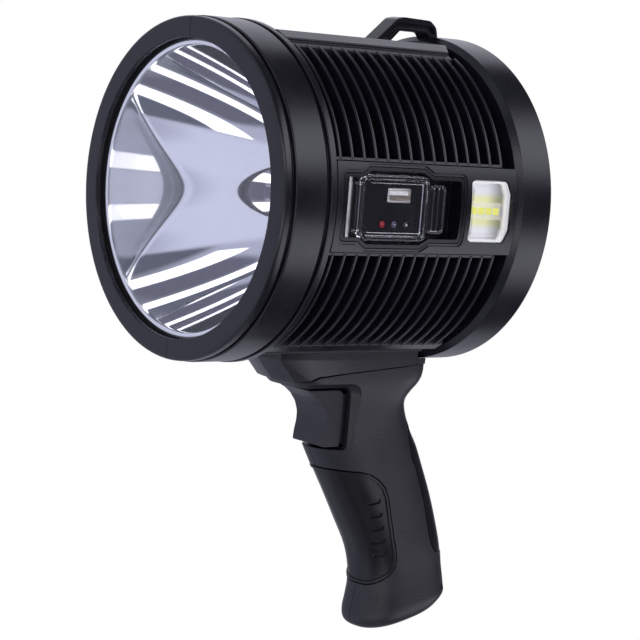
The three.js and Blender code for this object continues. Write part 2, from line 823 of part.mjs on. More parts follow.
function heatSink() {
  const plates = [];
  for (let k = 0; k < sinkFinCount; k += 1) {
    const middle = (k - (sinkFinCount - 1) / 2) * sinkFinPitch;
    plates.push(block([middle - sinkFinThickness / 2, sinkStart + sinkPlate / 2, -sinkRadius],
      [middle + sinkFinThickness / 2, sinkFinEnd, sinkRadius]));
  }
  const fins = common(join(...plates), disc(sinkRadius - gap, 0, headLength, ringSteps));
  return join(disc(sinkRadius, sinkStart, sinkStart + sinkPlate, ringSteps),
    disc(pedestalRadius, pedestalStart, sinkStart + sinkPlate / 2, cellSteps), fins);
}

piece("heat_sink", heatSink(), "aluminium");

// Cells in their carrier, and the driver board on its posts
function cellCarrier() {
  const height = cellCount * cellPitch / 2;
  const cheekStart = carrierStart + carrierPlate / 2;
  const inside = cellLength / 2 + gap;
  const cheeks = [-1, 1].map((side) => {
    const [a, b] = [side * inside, side * (inside + carrierCheek)];
    return block([Math.min(a, b), cheekStart, -height],
      [Math.max(a, b), cheekStart + carrierCheekDepth, height]);
  });
  return join(disc(barrelInner - gap, carrierStart, carrierStart + carrierPlate), ...cheeks);
}

piece("cell_carrier", cellCarrier(), "matte");
const cellShape = rod("x", cellRadius, -cellLength / 2, cellLength / 2, 0, 0, cellSteps);
for (let k = 0; k < cellCount; k += 1) {
  const mesh = piece(`cell_${k + 1}`, cellShape, "wrap");
  mesh.position.set(0, cellCentre, (k - (cellCount - 1) / 2) * cellPitch);
}
piece("driver_board", disc(driverRadius, driverStart, driverStart + boardThickness,
  ringSteps), "board");

// Side plates
function sidePlate(side) {
  const reach = side * (flangeRadius + overrun);
  return common(ring(plateInner, flangeRadius, plateStart, plateEnd, roundSteps),
    block([Math.min(0, reach), 0, -plateHalfHeight], [Math.max(0, reach), headLength, plateHalfHeight]));
}

// Outline of the side lamp, drawn in by an inset
function lampOutline(inset) {
  const half = lampHalf - inset;
  const upper = [
    [lampStart + inset, half - lampFrontCorner],
    [lampStart + inset + lampFrontCorner, half],
    [lampEnd - inset - lampRearCut, half],
    [lampEnd - inset, half - lampRearCorner],
  ];
  return [...upper, ...upper.map(([y, z]) => [y, -z]).reverse()];
}

function rightPlate() {
  const skin = 2 * plateLedge;
  const hollow = common(disc(flangeRadius - skin, plateStart + skin, plateEnd - skin),
    block([-2 * flangeRadius, 0, -plateHalfHeight + skin], [0, headLength, plateHalfHeight - skin]));
  return cut(sidePlate(-1), hollow);
}

piece("side_plate_left", cut(sidePlate(1), bayWell,
  slabAcross(lampOutline(0), barrelInner / 2, flangeRadius + overrun)), "satin");
piece("side_plate_right", rightPlate(), "satin");

// Charging bay: a tub, the socket, its board and the indicators
const socketCentre = coverFrameEnd - socketInset;
const socketFace = bayFloorX + socketProud;
const boardFace = socketFace - socketDepth - gap;
const bayBoardStart = bayRear - bayBoardInset - bayBoardLength;

function socketSlab(grow, start, end) {
  const [half, rise] = [socketWidth / 2 + grow, socketHeight / 2 + grow];
  return block([start, socketCentre - half, socketUp - rise], [end, socketCentre + half, socketUp + rise]);
}

const indicatorPlaces = Array.from({ length: indicatorCount }, (unused, k) =>
  [coverFrameEnd - indicatorInset - (indicatorCount - 1 - k) * indicatorPitch, -indicatorDrop]);

function bayTub() {
  const walls = common(slabAcross(bayOutline(gap), bayFloorX - bayFloor, flangeRadius + overrun),
    disc(flangeRadius - baySink, 0, headLength));
  const hollow = slabAcross(bayOutline(gap + bayWall), bayFloorX, flangeRadius + overrun);
  const posts = [bayPostInset, bayBoardLength - bayPostInset].flatMap((along) => [-1, 1].map((side) =>
    rod("x", bayPostRadius, boardFace + gap, bayFloorX - bayFloor / 2, bayBoardStart + along,
      side * (bayBoardHalf - bayPostInset))));
  const lights = indicatorPlaces.map(([y, z]) =>
    rod("x", indicatorRadius + gap, boardFace, flangeRadius, y, z));
  const pin = rod("z", coverPinRadius + runningFit, -bayTabHalf - gap, bayTabHalf + gap,
    coverHingeX, coverHinge);
  return cut(join(cut(walls, hollow), ...posts), ...lights, pin,
    socketSlab(gap, boardFace, flangeRadius));
}

piece("bay_tub", bayTub(), "matte");
piece("usb_shell", cut(socketSlab(0, boardFace + gap, socketFace),
  socketSlab(-socketWall, boardFace + gap + socketWall, socketFace + overrun)), "steel");
const tongueZ = socketUp + tongueLift;
piece("usb_tongue", block(
  [boardFace + 2 * gap + socketWall, socketCentre - tongueWidth / 2, tongueZ - tongueThickness / 2],
  [boardFace + 2 * gap + socketWall + tongueDepth, socketCentre + tongueWidth / 2,
    tongueZ + tongueThickness / 2]), "white");
piece("bay_board", block([boardFace - boardThickness, bayBoardStart, -bayBoardHalf],
  [boardFace, bayBoardStart + bayBoardLength, bayBoardHalf]), "board");
const indicatorShape = rod("x", indicatorRadius, boardFace + gap, bayFloorX + socketProud, 0, 0);
indicatorPlaces.forEach(([y, z], k) => {
  const mesh = piece(`indicator_${k + 1}`, indicatorShape, k === 0 ? "red" : "frosted");
  mesh.position.set(0, y, z);
});

// Clear cover: a raised frame with a hinge tab in front and a finger tab behind
function coverFrameOutline(inset) {
  const half = coverFrameHalf - inset;
  const upper = [
    [coverFrameStart + inset, half - coverCorner],
    [coverFrameStart + inset + coverCorner, half],
    [coverFrameEnd - inset - coverCorner, half],
    [coverFrameEnd - inset, half - coverCorner],
  ];
  return [...upper, ...upper.map(([y, z]) => [y, -z]).reverse()];
}

function portCover() {
  const base = coverTopRadius - coverSkirt;
  const tabTop = coverTopRadius - coverTabSink;
  const frame = common(slabAcross(coverFrameOutline(0), base, flangeRadius),
    disc(coverTopRadius, 0, headLength));
  const hollow = common(slabAcross(coverFrameOutline(coverWall), 0, flangeRadius),
    disc(coverInnerRadius, 0, headLength));
  const skin = ring(tabTop - coverTabThickness, tabTop, coverHinge, coverEnd, roundSteps);
  const hingeTab = block([0, coverHinge, -coverKnuckleHalf],
    [flangeRadius, coverFrameStart + coverWall / 2, coverKnuckleHalf]);
  const fingerTab = slabAcross([
    [coverFrameEnd - coverWall / 2, coverTabHalf],
    [coverEnd - coverCorner, coverTabHalf],
    [coverEnd, coverTabHalf - coverCorner],
    [coverEnd, coverCorner - coverTabHalf],
    [coverEnd - coverCorner, -coverTabHalf],
    [coverFrameEnd - coverWall / 2, -coverTabHalf],
  ], 0, flangeRadius);
  const knuckle = rod("z", coverKnuckleRadius, -coverKnuckleHalf, coverKnuckleHalf,
    coverHingeX, coverHinge);
  const bore = rod("z", coverPinRadius + runningFit, -bayFrameHalf, bayFrameHalf,
    coverHingeX, coverHinge);
  const body = join(cut(frame, hollow), common(skin, join(hingeTab, fingerTab)), knuckle);
  return cut(body, bore);
}

piece("port_cover", portCover(), "clear");
const pinHalf = bayInsideHalf + coverPinBite;
piece("cover_hinge_pin", rod("z", coverPinRadius, -pinHalf, pinHalf, coverHingeX, coverHinge), "steel");

// Side lamp: lens, tray, board and its row of emitters
const trayTop = lampLensBase - gap;
const lampBoardBase = trayBase + trayFloor + gap;
const lampMiddle = (lampStart + lampEnd) / 2;

function lampTray() {
  return cut(slabAcross(lampOutline(gap), trayBase, trayTop),
    slabAcross(lampOutline(gap + trayWall), trayBase + trayFloor, trayTop + overrun));
}

piece("side_lens", common(slabAcross(lampOutline(gap), lampLensBase, flangeRadius + overrun),
  disc(flangeRadius, 0, headLength)), "clear");
piece("side_lamp_tray", lampTray(), "white");
piece("side_lamp_board", block(
  [lampBoardBase, lampMiddle - lampBoardLength / 2, -lampBoardHalf],
  [lampBoardBase + lampBoardThickness, lampMiddle + lampBoardLength / 2, lampBoardHalf]), "white");
const ledShape = block([0, -ledSize / 2, -ledSize / 2], [ledThickness, ledSize / 2, ledSize / 2]);
for (let k = 0; k < lampLedCount; k += 1) {
  const mesh = piece(`side_led_${k + 1}`, ledShape, "phosphor");
  mesh.position.set(lampBoardBase + lampBoardThickness + gap / 2,
    lampMiddle + (k - (lampLedCount - 1) / 2) * ledPitch, 0);
}

// Strap loop, held by one tongue in the deck and one in the cap
function strapLoop() {
  const base = deckHeight + gap;
  const foot = flangeRadius + gap;
  const place = ([along, up]) => [loopStart + along * loopLength, base + up * loopHeight];
  const outline = [
    [loopStart, base],
    ...loopOuterShares.map(place),
    [loopEnd, foot],
    [loopStart + loopRearLegShare * loopLength, foot],
    ...loopInnerShares.map(place),
  ];
  const frontTongue = block(
    [-loopTongueHalf, loopStart + loopFrontTongueInset, deckHeight - loopFrontTongueDepth],
    [loopTongueHalf, loopStart + loopFrontTongueInset + loopFrontTongue, base + gap]);
  const rearTongue = block(
    [-loopTongueHalf, loopEnd - loopRearTongue - 2 * gap, foot - loopRearTongueDepth],
    [loopTongueHalf, loopEnd - 2 * gap, foot + gap]);
  return join(slabAcross(outline, -loopHalfWidth, loopHalfWidth), frontTongue, rearTongue);
}

piece("strap_loop", strapLoop(), "satin");

// Saddle: three side profiles from the seam outwards give it its swept nose
function saddleProfile(x, sweep) {
  const place = ([along, down]) => [x, saddleStart + along * saddleLength, -saddleTop - down * saddleDepth];
  const front = saddleFrontShares.map(place).map(([px, y, z]) => [px, y + sweep, z]);
  const seam = saddleSeamShares.map(place);
  return [...front, ...seam, [x, saddleStart + saddleLength, -saddleTop]];
}

function saddleHalf(side) {
  const body = loft([
    saddleProfile(side * gap / 2, 0),
    saddleProfile(side * saddleNoseHalfWidth, saddleNoseSweep),
    saddleProfile(side * saddleHalfWidth, saddleSideSweep),
  ]);
  const capRoom = disc(flangeRadius + gap, capStart - gap, headLength);
  const wires = rod("z", wireHoleRadius, -saddleTop - saddleDepth - overrun, 0, 0,
    saddleStart + wireHoleInset);
  const wells = saddleScrewPlaces.flatMap(([x, y]) => [
    rod("z", screwRadius + gap, -saddleTop - saddleDepth - overrun, 0, x, y),
    rod("z", screwHeadRadius + gap, -saddleTop - saddleDepth - overrun,
      -saddleTop - 2 * screwHeadHeight, x, y),
  ]);
  return cut(body, capRoom, wires, ...wells);
}

piece("saddle_left", saddleHalf(1), "satin");
piece("saddle_right", saddleHalf(-1), "satin");
const saddleScrewShape = screw(saddleScrewLength);
saddleScrewPlaces.forEach(([x, y], k) => {
  const mesh = piece(`saddle_screw_${k + 1}`, saddleScrewShape, "steel");
  mesh.position.set(x, y, -saddleTop - 2 * screwHeadHeight - drillFit);
  mesh.rotation.x = Math.PI / 2;
});

// Grip
function gripRow(row, inset) {
  const [drop, front, back, width, tilt, squareness] = row;
  const floor = gripTop + drop * gripDrop;
  const near = gripStart + front * gripReach + inset;
  const far = gripStart + back * gripReach - inset;
  const half = gripHalfWidth * width - inset;
  const middle = (near + far) / 2;
  const bend = 2 / squareness;
  const points = [];
  for (let i = 0; i < sectionSteps; i += 1) {
    const angle = 2 * Math.PI * i / sectionSteps;
    const [c, s] = [Math.cos(angle), Math.sin(angle)];
    const x = Math.abs(c) < weld ? 0 : half * Math.sign(c) * Math.abs(c) ** bend;
    const along = Math.abs(s) < weld ? 0 : (far - near) / 2 * Math.sign(s) * Math.abs(s) ** bend;
    points.push([x, middle + along, -floor + gripBaseSlope * tilt * along]);
  }
  return points;
}

function gripBody(inset, floorRows = 0) {
  return loft(gripShares.slice(0, gripShares.length - floorRows).map((row) => gripRow(row, inset)));
}

const gripPlace = ([along, down]) => [gripStart + along * gripReach, -gripTop - down * gripDrop];
const gripScrewPlaces = [[gripWaist - topScrewInset, -gripTop - topScrewDrop],
  ...gripScrewShares.map(gripPlace)];

// The space above the seam with the saddle, and the barrel and cap over it
function aboveSeam() {
  const seam = [saddleFrontShares[2], ...saddleSeamShares].map(([along, down]) =>
    [saddleStart + along * saddleLength, -saddleTop - down * saddleDepth - gap]);
  const [first, last] = [seam[0], seam[seam.length - 1]];
  const outline = [
    [first[0] - overrun, first[1]], ...seam, [last[0] + overrun, last[1]],
    [last[0] + overrun, 0], [first[0] - overrun, 0],
  ];
  return slabAcross(outline, -flangeRadius, flangeRadius);
}

function triggerRecess() {
  const reach = gripHalfWidth + overrun;
  const slot = block([-reach, 0, -triggerBayBottom], [reach, triggerBay, -triggerBayTop]);
  const rim = triggerBayRim;
  const lips = [-1, 1].map((side) => {
    const [a, b] = [side * triggerBayRimX, side * reach];
    return block([Math.min(a, b), 0, -triggerBayBottom - rim / 2],
      [Math.max(a, b), triggerBay + rim, -triggerBayTop + rim]);
  });
  const mouth = block([-triggerHalfWidth - gap, 0, -triggerTop - triggerHeight - gap],
    [triggerHalfWidth + gap, triggerBack + gap, -triggerTop + gap]);
  const flange = triggerFlangeLip + gap;
  const room = block(
    [-triggerHalfWidth - flange, triggerBack - gap, -triggerTop - triggerHeight - flange],
    [triggerHalfWidth + flange, triggerBack + triggerFlange + triggerTravel + gap, -triggerTop + flange]);
  return join(slot, ...lips, mouth, room);
}

function gripCavity() {
  const inside = gripBody(gripWall, 2);
  const throat = block(
    [-flangeRadius, 0, -triggerBayBottom - triggerBayWall],
    [flangeRadius, triggerBay + triggerBayWall, 0]);
  return cut(inside, throat);
}

function gripBosses() {
  const bosses = gripScrewPlaces.map(([y, z]) =>
    rod("x", gripBossRadius, -gripHalfWidth, gripHalfWidth, y, z));
  const heel = rod("x", lanyardRadius + lanyardBossWall, -gripHalfWidth, gripHalfWidth, ...lanyardPlace);
  const ribs = [switchStart + cradleRib, switchStart + switchLength - 2 * cradleRib].flatMap((y) =>
    [-1, 1].map((side) => {
      const [a, b] = [side * (switchHalfWidth + gap), side * gripHalfWidth];
      return block([Math.min(a, b), y, -triggerMiddle - switchHeight / 2 - cradleLip],
        [Math.max(a, b), y + cradleRib, -triggerMiddle + switchHeight / 2]);
    }));
  return common(join(...bosses, heel, ...ribs), gripBody(gripWall / 2));
}

const lanyardPlace = gripPlace([1, lanyardUpShare]);
lanyardPlace[0] -= lanyardRadius + lanyardForward;

function padBand(outline) {
  const reach = gripHalfWidth + overrun;
  return slabAcross(outline.map(gripPlace), -reach, reach);
}

function pad(outline) {
  return cut(common(gripBody(0), padBand(outline)), gripBody(padThickness));
}

// The front outline runs out past the grip at its open side
const frontPadOutline = [[0, frontPadShares[0][1]], ...frontPadShares, [0, frontPadShares.at(-1)[1]]];

function gripScrewWells() {
  return gripScrewPlaces.flatMap(([y, z]) => [
    rod("x", screwHeadRadius + gap, -gripHalfWidth - overrun, -gripScrewSeat, y, z),
    rod("x", screwRadius + gap, -gripHalfWidth, 0, y, z),
    rod("x", screwRadius + drillFit, -gap, gripScrewLength - gripScrewSeat + gap, y, z),
  ]);
}

function padPocket(outline) {
  return cut(padBand(outline), gripBody(padThickness + padFit));
}

function wholeGrip() {
  const shell = join(cut(gripBody(0), gripCavity()), gripBosses());
  return cut(shell, aboveSeam(), triggerRecess(), padPocket(frontPadOutline), padPocket(rearPadShares),
    rod("x", lanyardRadius, -gripHalfWidth - overrun, gripHalfWidth + overrun, ...lanyardPlace),
    disc(flangeRadius + gap, capStart - gap, headLength), ...gripScrewWells());
}

const grip = wholeGrip();
piece("grip_left", common(grip, halfSpace(1)), "matte");
piece("grip_right", common(grip, halfSpace(-1)), "matte");

piece("grip_front_pad", pad(frontPadOutline), "soft");
piece("grip_rear_pad", pad(rearPadShares), "soft");

const gripScrewShape = screw(gripScrewLength);
gripScrewPlaces.forEach(([y, z], k) => {
  const mesh = piece(`grip_screw_${k + 1}`, gripScrewShape, "steel");
  mesh.position.set(-gripScrewSeat - drillFit, y, z);
  mesh.rotation.z = -Math.PI / 2;
});

// Trigger with its flange and stem, the spring, the plunger and the switch
function trigger() {
  const front = triggerFrontShares.map(([along, down]) =>
    [triggerBack - (1 - along) * triggerReach, -triggerTop - down * triggerHeight]);
  const blade = slabAcross([...front, [triggerBack + gap, -triggerTop - triggerHeight],
    [triggerBack + gap, -triggerTop]], -triggerHalfWidth, triggerHalfWidth);
  const lip = triggerFlangeLip;
  const flange = block(
    [-triggerHalfWidth - lip, triggerBack, -triggerTop - triggerHeight - lip],
    [triggerHalfWidth + lip, triggerBack + triggerFlange, -triggerTop + lip]);
  const stem = rod("y", stemRadius, triggerBack, stemEnd, 0, -triggerMiddle);
  return join(blade, flange, stem);
}

piece("trigger", trigger(), "satin");
const springInner = stemRadius + springFit;
const spring = piece("trigger_spring", ring(springInner, springInner + springWall, springStart,
  springStart + springLength, smallSteps), "steel");
spring.position.z = -triggerMiddle;
const plungerStart = stemEnd + gap;
piece("switch_plunger", rod("y", plungerRadius, plungerStart, plungerStart + plungerLength, 0,
  -triggerMiddle), "white");
piece("trigger_switch", cut(
  block([-switchHalfWidth, switchStart, -triggerMiddle - switchHeight / 2],
    [switchHalfWidth, switchStart + switchLength, -triggerMiddle + switchHeight / 2]),
  rod("y", plungerRadius + runningFit, switchStart - overrun, switchStart + switchBore, 0,
    -triggerMiddle)), "matte");

export default spotlight;
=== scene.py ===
"""Looks of a handheld camping spotlight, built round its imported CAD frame.

Lengths are millimetres. A station is how far a point lies behind the front face, along the
beam, so y = station - HEAD. Widths (x) and heights (z) are the frame's own.
"""

import json
from math import acos, asin, copysign, cos, hypot, pi, radians, sin, tan

import bmesh
import bpy
import numpy as np
from mathutils import Matrix, Vector


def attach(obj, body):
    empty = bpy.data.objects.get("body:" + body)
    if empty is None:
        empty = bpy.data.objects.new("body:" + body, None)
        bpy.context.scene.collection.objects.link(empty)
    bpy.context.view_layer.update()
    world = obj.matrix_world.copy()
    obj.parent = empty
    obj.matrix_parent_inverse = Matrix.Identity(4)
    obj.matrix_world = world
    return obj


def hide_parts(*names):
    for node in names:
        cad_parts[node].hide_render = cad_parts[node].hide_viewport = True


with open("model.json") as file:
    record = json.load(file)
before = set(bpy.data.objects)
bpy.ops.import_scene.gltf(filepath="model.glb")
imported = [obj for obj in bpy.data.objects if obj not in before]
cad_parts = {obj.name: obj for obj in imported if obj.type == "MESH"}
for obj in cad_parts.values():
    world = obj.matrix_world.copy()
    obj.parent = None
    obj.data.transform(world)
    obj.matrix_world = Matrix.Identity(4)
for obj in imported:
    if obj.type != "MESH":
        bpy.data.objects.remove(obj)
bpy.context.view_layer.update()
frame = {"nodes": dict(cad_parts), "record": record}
bpy.context.scene.view_settings.view_transform = "Standard"

MM = 0.001
# Length of the head, half the gap between two halves, and where turned solids stop at the axis.
HEAD, SEAM, AXIS_R = 167.48, 0.15, 0.02
TURN_STEPS, FINE_STEPS = 192, 256
SIDES = ((1, "left"), (-1, "right"))
# Reach of cutting tools: to both sides of the grip, and through the left wall of the head.
WIDE, INSIDE, OUTSIDE = 60, 60, 100

# Outlines and solids


def corner_arc(before, at, after, radius, steps):
    """Points of a rounded corner, as a short quadratic curve."""
    before, at, after = (np.array(point, float) for point in (before, at, after))
    back, ahead = before - at, after - at
    back_length, ahead_length = np.linalg.norm(back), np.linalg.norm(ahead)
    if radius <= 0 or back_length < 1e-6 or ahead_length < 1e-6:
        return [tuple(at)]
    back, ahead = back / back_length, ahead / ahead_length
    bend = acos(max(-1, min(1, float(back @ ahead))))
    if bend > pi - 0.02:
        return [tuple(at)]
    reach = min(radius / tan(bend / 2), 0.47 * back_length, 0.47 * ahead_length)
    start, end = at + back * reach, at + ahead * reach
    points = []
    for step in range(steps + 1):
        t = step / steps
        points.append(tuple((1 - t) ** 2 * start + 2 * t * (1 - t) * at + t * t * end))
    return points


def rounded(points, radius, steps=4):
    """A closed outline with rounded corners. radius is one number or one for each corner."""
    radii = radius if isinstance(radius, (list, tuple)) else [radius] * len(points)
    out = []
    for i, point in enumerate(points):
        out += corner_arc(points[i - 1], point, points[(i + 1) % len(points)], radii[i], steps)
    return out


def eased(rows, steps=4):
    """A closed outline from rows of two coordinates and the rounding of that corner."""
    return rounded([row[:2] for row in rows], [row[2] for row in rows], steps)


def inset(points, amount):
    """A closed outline moved inwards by amount."""
    pts = [np.array(point, float) for point in points]
    count = len(pts)
    area = sum(pts[i - 1][0] * pts[i][1] - pts[i][0] * pts[i - 1][1] for i in range(count))
    turn = 1 if area > 0 else -1
    out = []
    for i in range(count):
        before, at, after = pts[i - 1], pts[i], pts[(i + 1) % count]
        into = (at - before) / np.linalg.norm(at - before)
        onward = (after - at) / np.linalg.norm(after - at)
        first, second = (np.array([-way[1], way[0]]) * turn for way in (into, onward))
        out.append(tuple(at + (first + second) * amount / max(0.3, float(1 + first @ second))))
    return out


def loops_to_part(loops, wrap=False):
    """Joins equal loops of points into a skin, closed by end caps or by wrapping round."""
    count = len(loops[0])
    verts = [point for loop in loops for point in loop]
    faces = []
    spans = len(loops) if wrap else len(loops) - 1
    for k in range(spans):
        this, following = k * count, ((k + 1) % len(loops)) * count
        for i in range(count):
            j = (i + 1) % count
            faces.append((this + i, this + j, following + j, following + i))
    if not wrap:
        faces.append(tuple(range(count)))
        faces.append(tuple((len(loops) - 1) * count + i for i in range(count)))
    return verts, faces


def turned(profile, angle):
    """A loop of (radius, station) pairs, each turned about the beam by angle(radius)."""
    return [(r * cos(angle(r)), t - HEAD, r * sin(angle(r))) for r, t in profile]


def revolve(profile, start=None, end=None, steps=TURN_STEPS):
    """Turns a profile right round, or between two angles that depend on the radius."""
    if start is None:
        angles = [2 * pi * i / steps for i in range(steps)]
        return loops_to_part([turned(profile, lambda r: angle) for angle in angles], wrap=True)
    shares = [i / steps for i in range(steps + 1)]
    return loops_to_part([turned(profile, lambda r: start(r) * (1 - f) + end(r) * f) for f in shares])


def at_height(z):
    """The angle at which a radius reaches a height."""
    return lambda r: asin(max(-1, min(1, z / r)))


def at_width(x, up=1):
    """The angle at which a radius reaches a width, above (1) or below (-1) the axis."""
    return lambda r: up * acos(max(-1, min(1, x / r)))


def drum(radius, start=0):
    """A solid drum about the beam, from a station to the rear face."""
    profile = [(AXIS_R, start), (radius, start), (radius, HEAD), (AXIS_R, HEAD)]
    return revolve(profile, steps=FINE_STEPS)


def layer(points, x):
    """An outline of stations and heights as a loop at one width."""
    return [(x, t - HEAD, z) for t, z in points]


def across(points, x0, x1):
    """A (station, height) outline given its thickness in X."""
    return loops_to_part([layer(points, x) for x in (x0, x1)])


def along(points, t0, t1):
    """A (width, height) outline given its length along the beam."""
    return loops_to_part([[(x, t - HEAD, z) for x, z in points] for t in (t0, t1)])


def upward(points, z0, z1):
    """A (width, station) outline given its height."""
    return loops_to_part([[(x, t - HEAD, z) for x, t in points] for z in (z0, z1)])


def brick(low, high):
    """A box between two corners, each a width, a station and a height."""
    (x0, t0, z0), (x1, t1, z1) = low, high
    return along([(x0, z0), (x1, z0), (x1, z1), (x0, z1)], t0, t1)


def rod(axis, radius, start, end, first, second, steps=40, dome=0.0):
    """A rod along x, y or z. first and second are its centre in the other two (station for y)."""
    ends = [(start, 1.0), (end - dome, 1.0)]
    if dome:
        ends += [(end - dome + dome * sin(q), cos(q)) for q in (0.4, 0.8, 1.2, 1.5)]
    loops = []
    for place, share in ends:
        loop = []
        for i in range(steps):
            a = 2 * pi * i / steps
            u, v = first + radius * share * cos(a), second + radius * share * sin(a)
            spots = {"x": (place, u - HEAD, v), "y": (u, place - HEAD, v), "z": (u, v - HEAD, place)}
            loop.append(spots[axis])
        loops.append(loop)
    return loops_to_part(loops)


# Objects


def raw(name, *parts):
    """An object made of closed parts, with their faces turned outwards."""
    verts, faces = [], []
    for part_verts, part_faces in parts:
        base = len(verts)
        verts += [(x * MM, y * MM, z * MM) for x, y, z in part_verts]
        faces += [tuple(base + i for i in face) for face in part_faces]
    mesh = bpy.data.meshes.new(name)
    mesh.from_pydata(verts, [], faces)
    mesh.validate()
    bm = bmesh.new()
    bm.from_mesh(mesh)
    bmesh.ops.recalc_face_normals(bm, faces=bm.faces)
    bm.to_mesh(mesh)
    bm.free()
    obj = bpy.data.objects.new(name, mesh)
    bpy.context.scene.collection.objects.link(obj)
    return obj


def settle(obj):
    """Turns the modifiers into plain mesh."""
    bpy.context.view_layer.update()
    graph = bpy.context.evaluated_depsgraph_get()
    mesh = bpy.data.meshes.new_from_object(obj.evaluated_get(graph))
    obj.modifiers.clear()
    old = obj.data
    obj.data = mesh
    bpy.data.meshes.remove(old)
    return obj


def combine(obj, tool, operation):
    """Cuts, keeps or adds what the tool covers. The tool is used up."""
    mod = obj.modifiers.new("cut", "BOOLEAN")
    mod.operation = operation
    mod.solver = "EXACT"
    mod.object = tool
    settle(obj)
    bpy.data.objects.remove(tool)
    return obj


def carve_by(obj, tool):
    return combine(obj, tool, "DIFFERENCE")


def carve(obj, parts):
    """Cuts closed parts out of obj, one at a time."""
    for part in parts:
        carve_by(obj, raw("tool", part))
    return obj


def keep(obj, part):
    """Keeps what lies in a closed part."""
    return combine(obj, raw("tool", part), "INTERSECT")


def unite(obj, tool):
    return combine(obj, tool, "UNION")


def chamfer(obj, width, segments=2, angle=35):
    """Softens the edges that are sharper than angle, in degrees."""
    mod = obj.modifiers.new("edge", "BEVEL")
    mod.width = width * MM
    mod.segments = segments
    mod.limit_method = "ANGLE"
    mod.angle_limit = radians(angle)
    mod.miter_outer = "MITER_ARC"
    mod.use_clamp_overlap = True
    return settle(obj)


def flip_side(obj):
    """Turns a left piece into a right one."""
    obj.data.transform(Matrix.Scale(-1, 4, Vector((1, 0, 0))))
    obj.data.flip_normals()
    return obj


# Every material by its name.
FINISHES = {}


def dress(obj, look):
    obj.data.materials.clear()
    obj.data.materials.append(FINISHES[look])


def finish(obj, slot, node, body="housing", look=None, angle=32, weighted=True):
    """Shades a piece, gives it its finish and puts it in the place of its CAD node."""
    obj.data.shade_smooth()
    obj.data.set_sharp_from_angle(angle=radians(angle))
    if weighted:
        mod = obj.modifiers.new("flats", "WEIGHTED_NORMAL")
        mod.keep_sharp = True
        mod.weight = 50
        settle(obj)
    dress(obj, look or slot)
    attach(obj, body)
    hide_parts(node)


def join_objects(target, others):
    """Puts the meshes of others into target."""
    bm = bmesh.new()
    bm.from_mesh(target.data)
    for other in others:
        bm.from_mesh(other.data)
    bm.to_mesh(target.data)
    bm.free()
    for other in others:
        bpy.data.objects.remove(other)
    return target


# Nodes


def fill(tree, node, values):
    """Links values into a node's inputs, or sets them there if they are plain."""
    for key, value in values.items():
        if isinstance(value, bpy.types.NodeSocket):
            tree.links.new(value, node.inputs[key])
        else:
            node.inputs[key].default_value = value


def add(tree, kind, values=None, **settings):
    """Adds a node and gives back its outputs."""
    node = tree.nodes.new("ShaderNode" + kind)
    for name, setting in settings.items():
        setattr(node, name, setting)
    fill(tree, node, values or {})
    return node.outputs


def maths(tree, operation, *values):
    return add(tree, "Math", dict(enumerate(values)), operation=operation)["Value"]


def span_map(tree, value, low, high, to_low=0.0, to_high=1.0, kind="SMOOTHSTEP"):
    """Maps low to high of a value onto to_low to to_high, and holds it beyond them."""
    values = {"Value": value, "From Min": low, "From Max": high, "To Min": to_low, "To Max": to_high}
    return add(tree, "MapRange", values, interpolation_type=kind)["Result"]


def blend(tree, factor, first, second):
    """Mixes two colours."""
    return add(tree, "Mix", {"Factor": factor, 6: first, 7: second}, data_type="RGBA")[2]


def by_ray(tree, kind, usual, special):
    """One shader for a kind of ray, such as Is Camera Ray, and the usual one for the rest."""
    chosen = add(tree, "LightPath")[kind]
    return add(tree, "MixShader", {"Fac": chosen, 1: usual, 2: special})["Shader"]


def place_on(tree):
    """The point on the object, in metres."""
    return add(tree, "TexCoord")["Object"]


def noise(tree, scale, detail=3.0, rough=0.5):
    values = {"Vector": place_on(tree), "Scale": scale, "Detail": detail, "Roughness": rough}
    return add(tree, "TexNoise", values)["Fac"]


def distance(tree, mask, centre=(0, 0, 0)):
    """Distance from centre along the axes that mask keeps, in metres."""
    flat = add(tree, "VectorMath", {0: place_on(tree), 1: mask}, operation="MULTIPLY")["Vector"]
    return add(tree, "VectorMath", {0: flat, 1: centre}, operation="DISTANCE")["Value"]


def opaque(value):
    """A grey or a colour with full alpha."""
    return (value, value, value, 1) if isinstance(value, (int, float)) else (*value, 1)


def banded(tree, source, stops, reach):
    """Colours or greys along a value. stops are (value, colour), from 0 to reach."""
    node = tree.nodes.new("ShaderNodeValToRGB")
    bands = node.color_ramp.elements
    for band, (value, tint) in ((bands[0], stops[0]), (bands[1], stops[-1])):
        band.position = value / reach
        band.color = opaque(tint)
    for value, tint in stops[1:-1]:
        bands.new(value / reach).color = opaque(tint)
    fill(tree, node, {"Fac": source})
    return node.outputs["Color"]


def ringed(tree, metres, stops, reach):
    """Colours along a length in metres, with its stops and reach in millimetres."""
    return banded(tree, maths(tree, "DIVIDE", metres, reach * MM), stops, reach)


def ramp(tree, source, low, high):
    """Spreads the middle of a 0 to 1 value over the colours or greys from low to high."""
    return banded(tree, source, [(0.35, low), (0.65, high)], 1)


def bump(tree, source, strength, depth, edge=0.0):
    """Surface relief, depth deep, over edges softened by edge."""
    values = {"Strength": strength, "Distance": depth * MM, "Height": source}
    if edge:
        values["Normal"] = add(tree, "Bevel", {"Radius": edge * MM}, samples=4)["Normal"]
    return add(tree, "Bump", values)["Normal"]


# Materials


def new_material(name):
    """The empty node tree of a new material."""
    FINISHES[name] = bpy.data.materials.new(name)
    FINISHES[name].use_nodes = True
    tree = FINISHES[name].node_tree
    tree.nodes.clear()
    return tree


def surface(tree, shader):
    add(tree, "OutputMaterial", {"Surface": shader})


def solid(tree, values):
    surface(tree, add(tree, "BsdfPrincipled", values)["BSDF"])


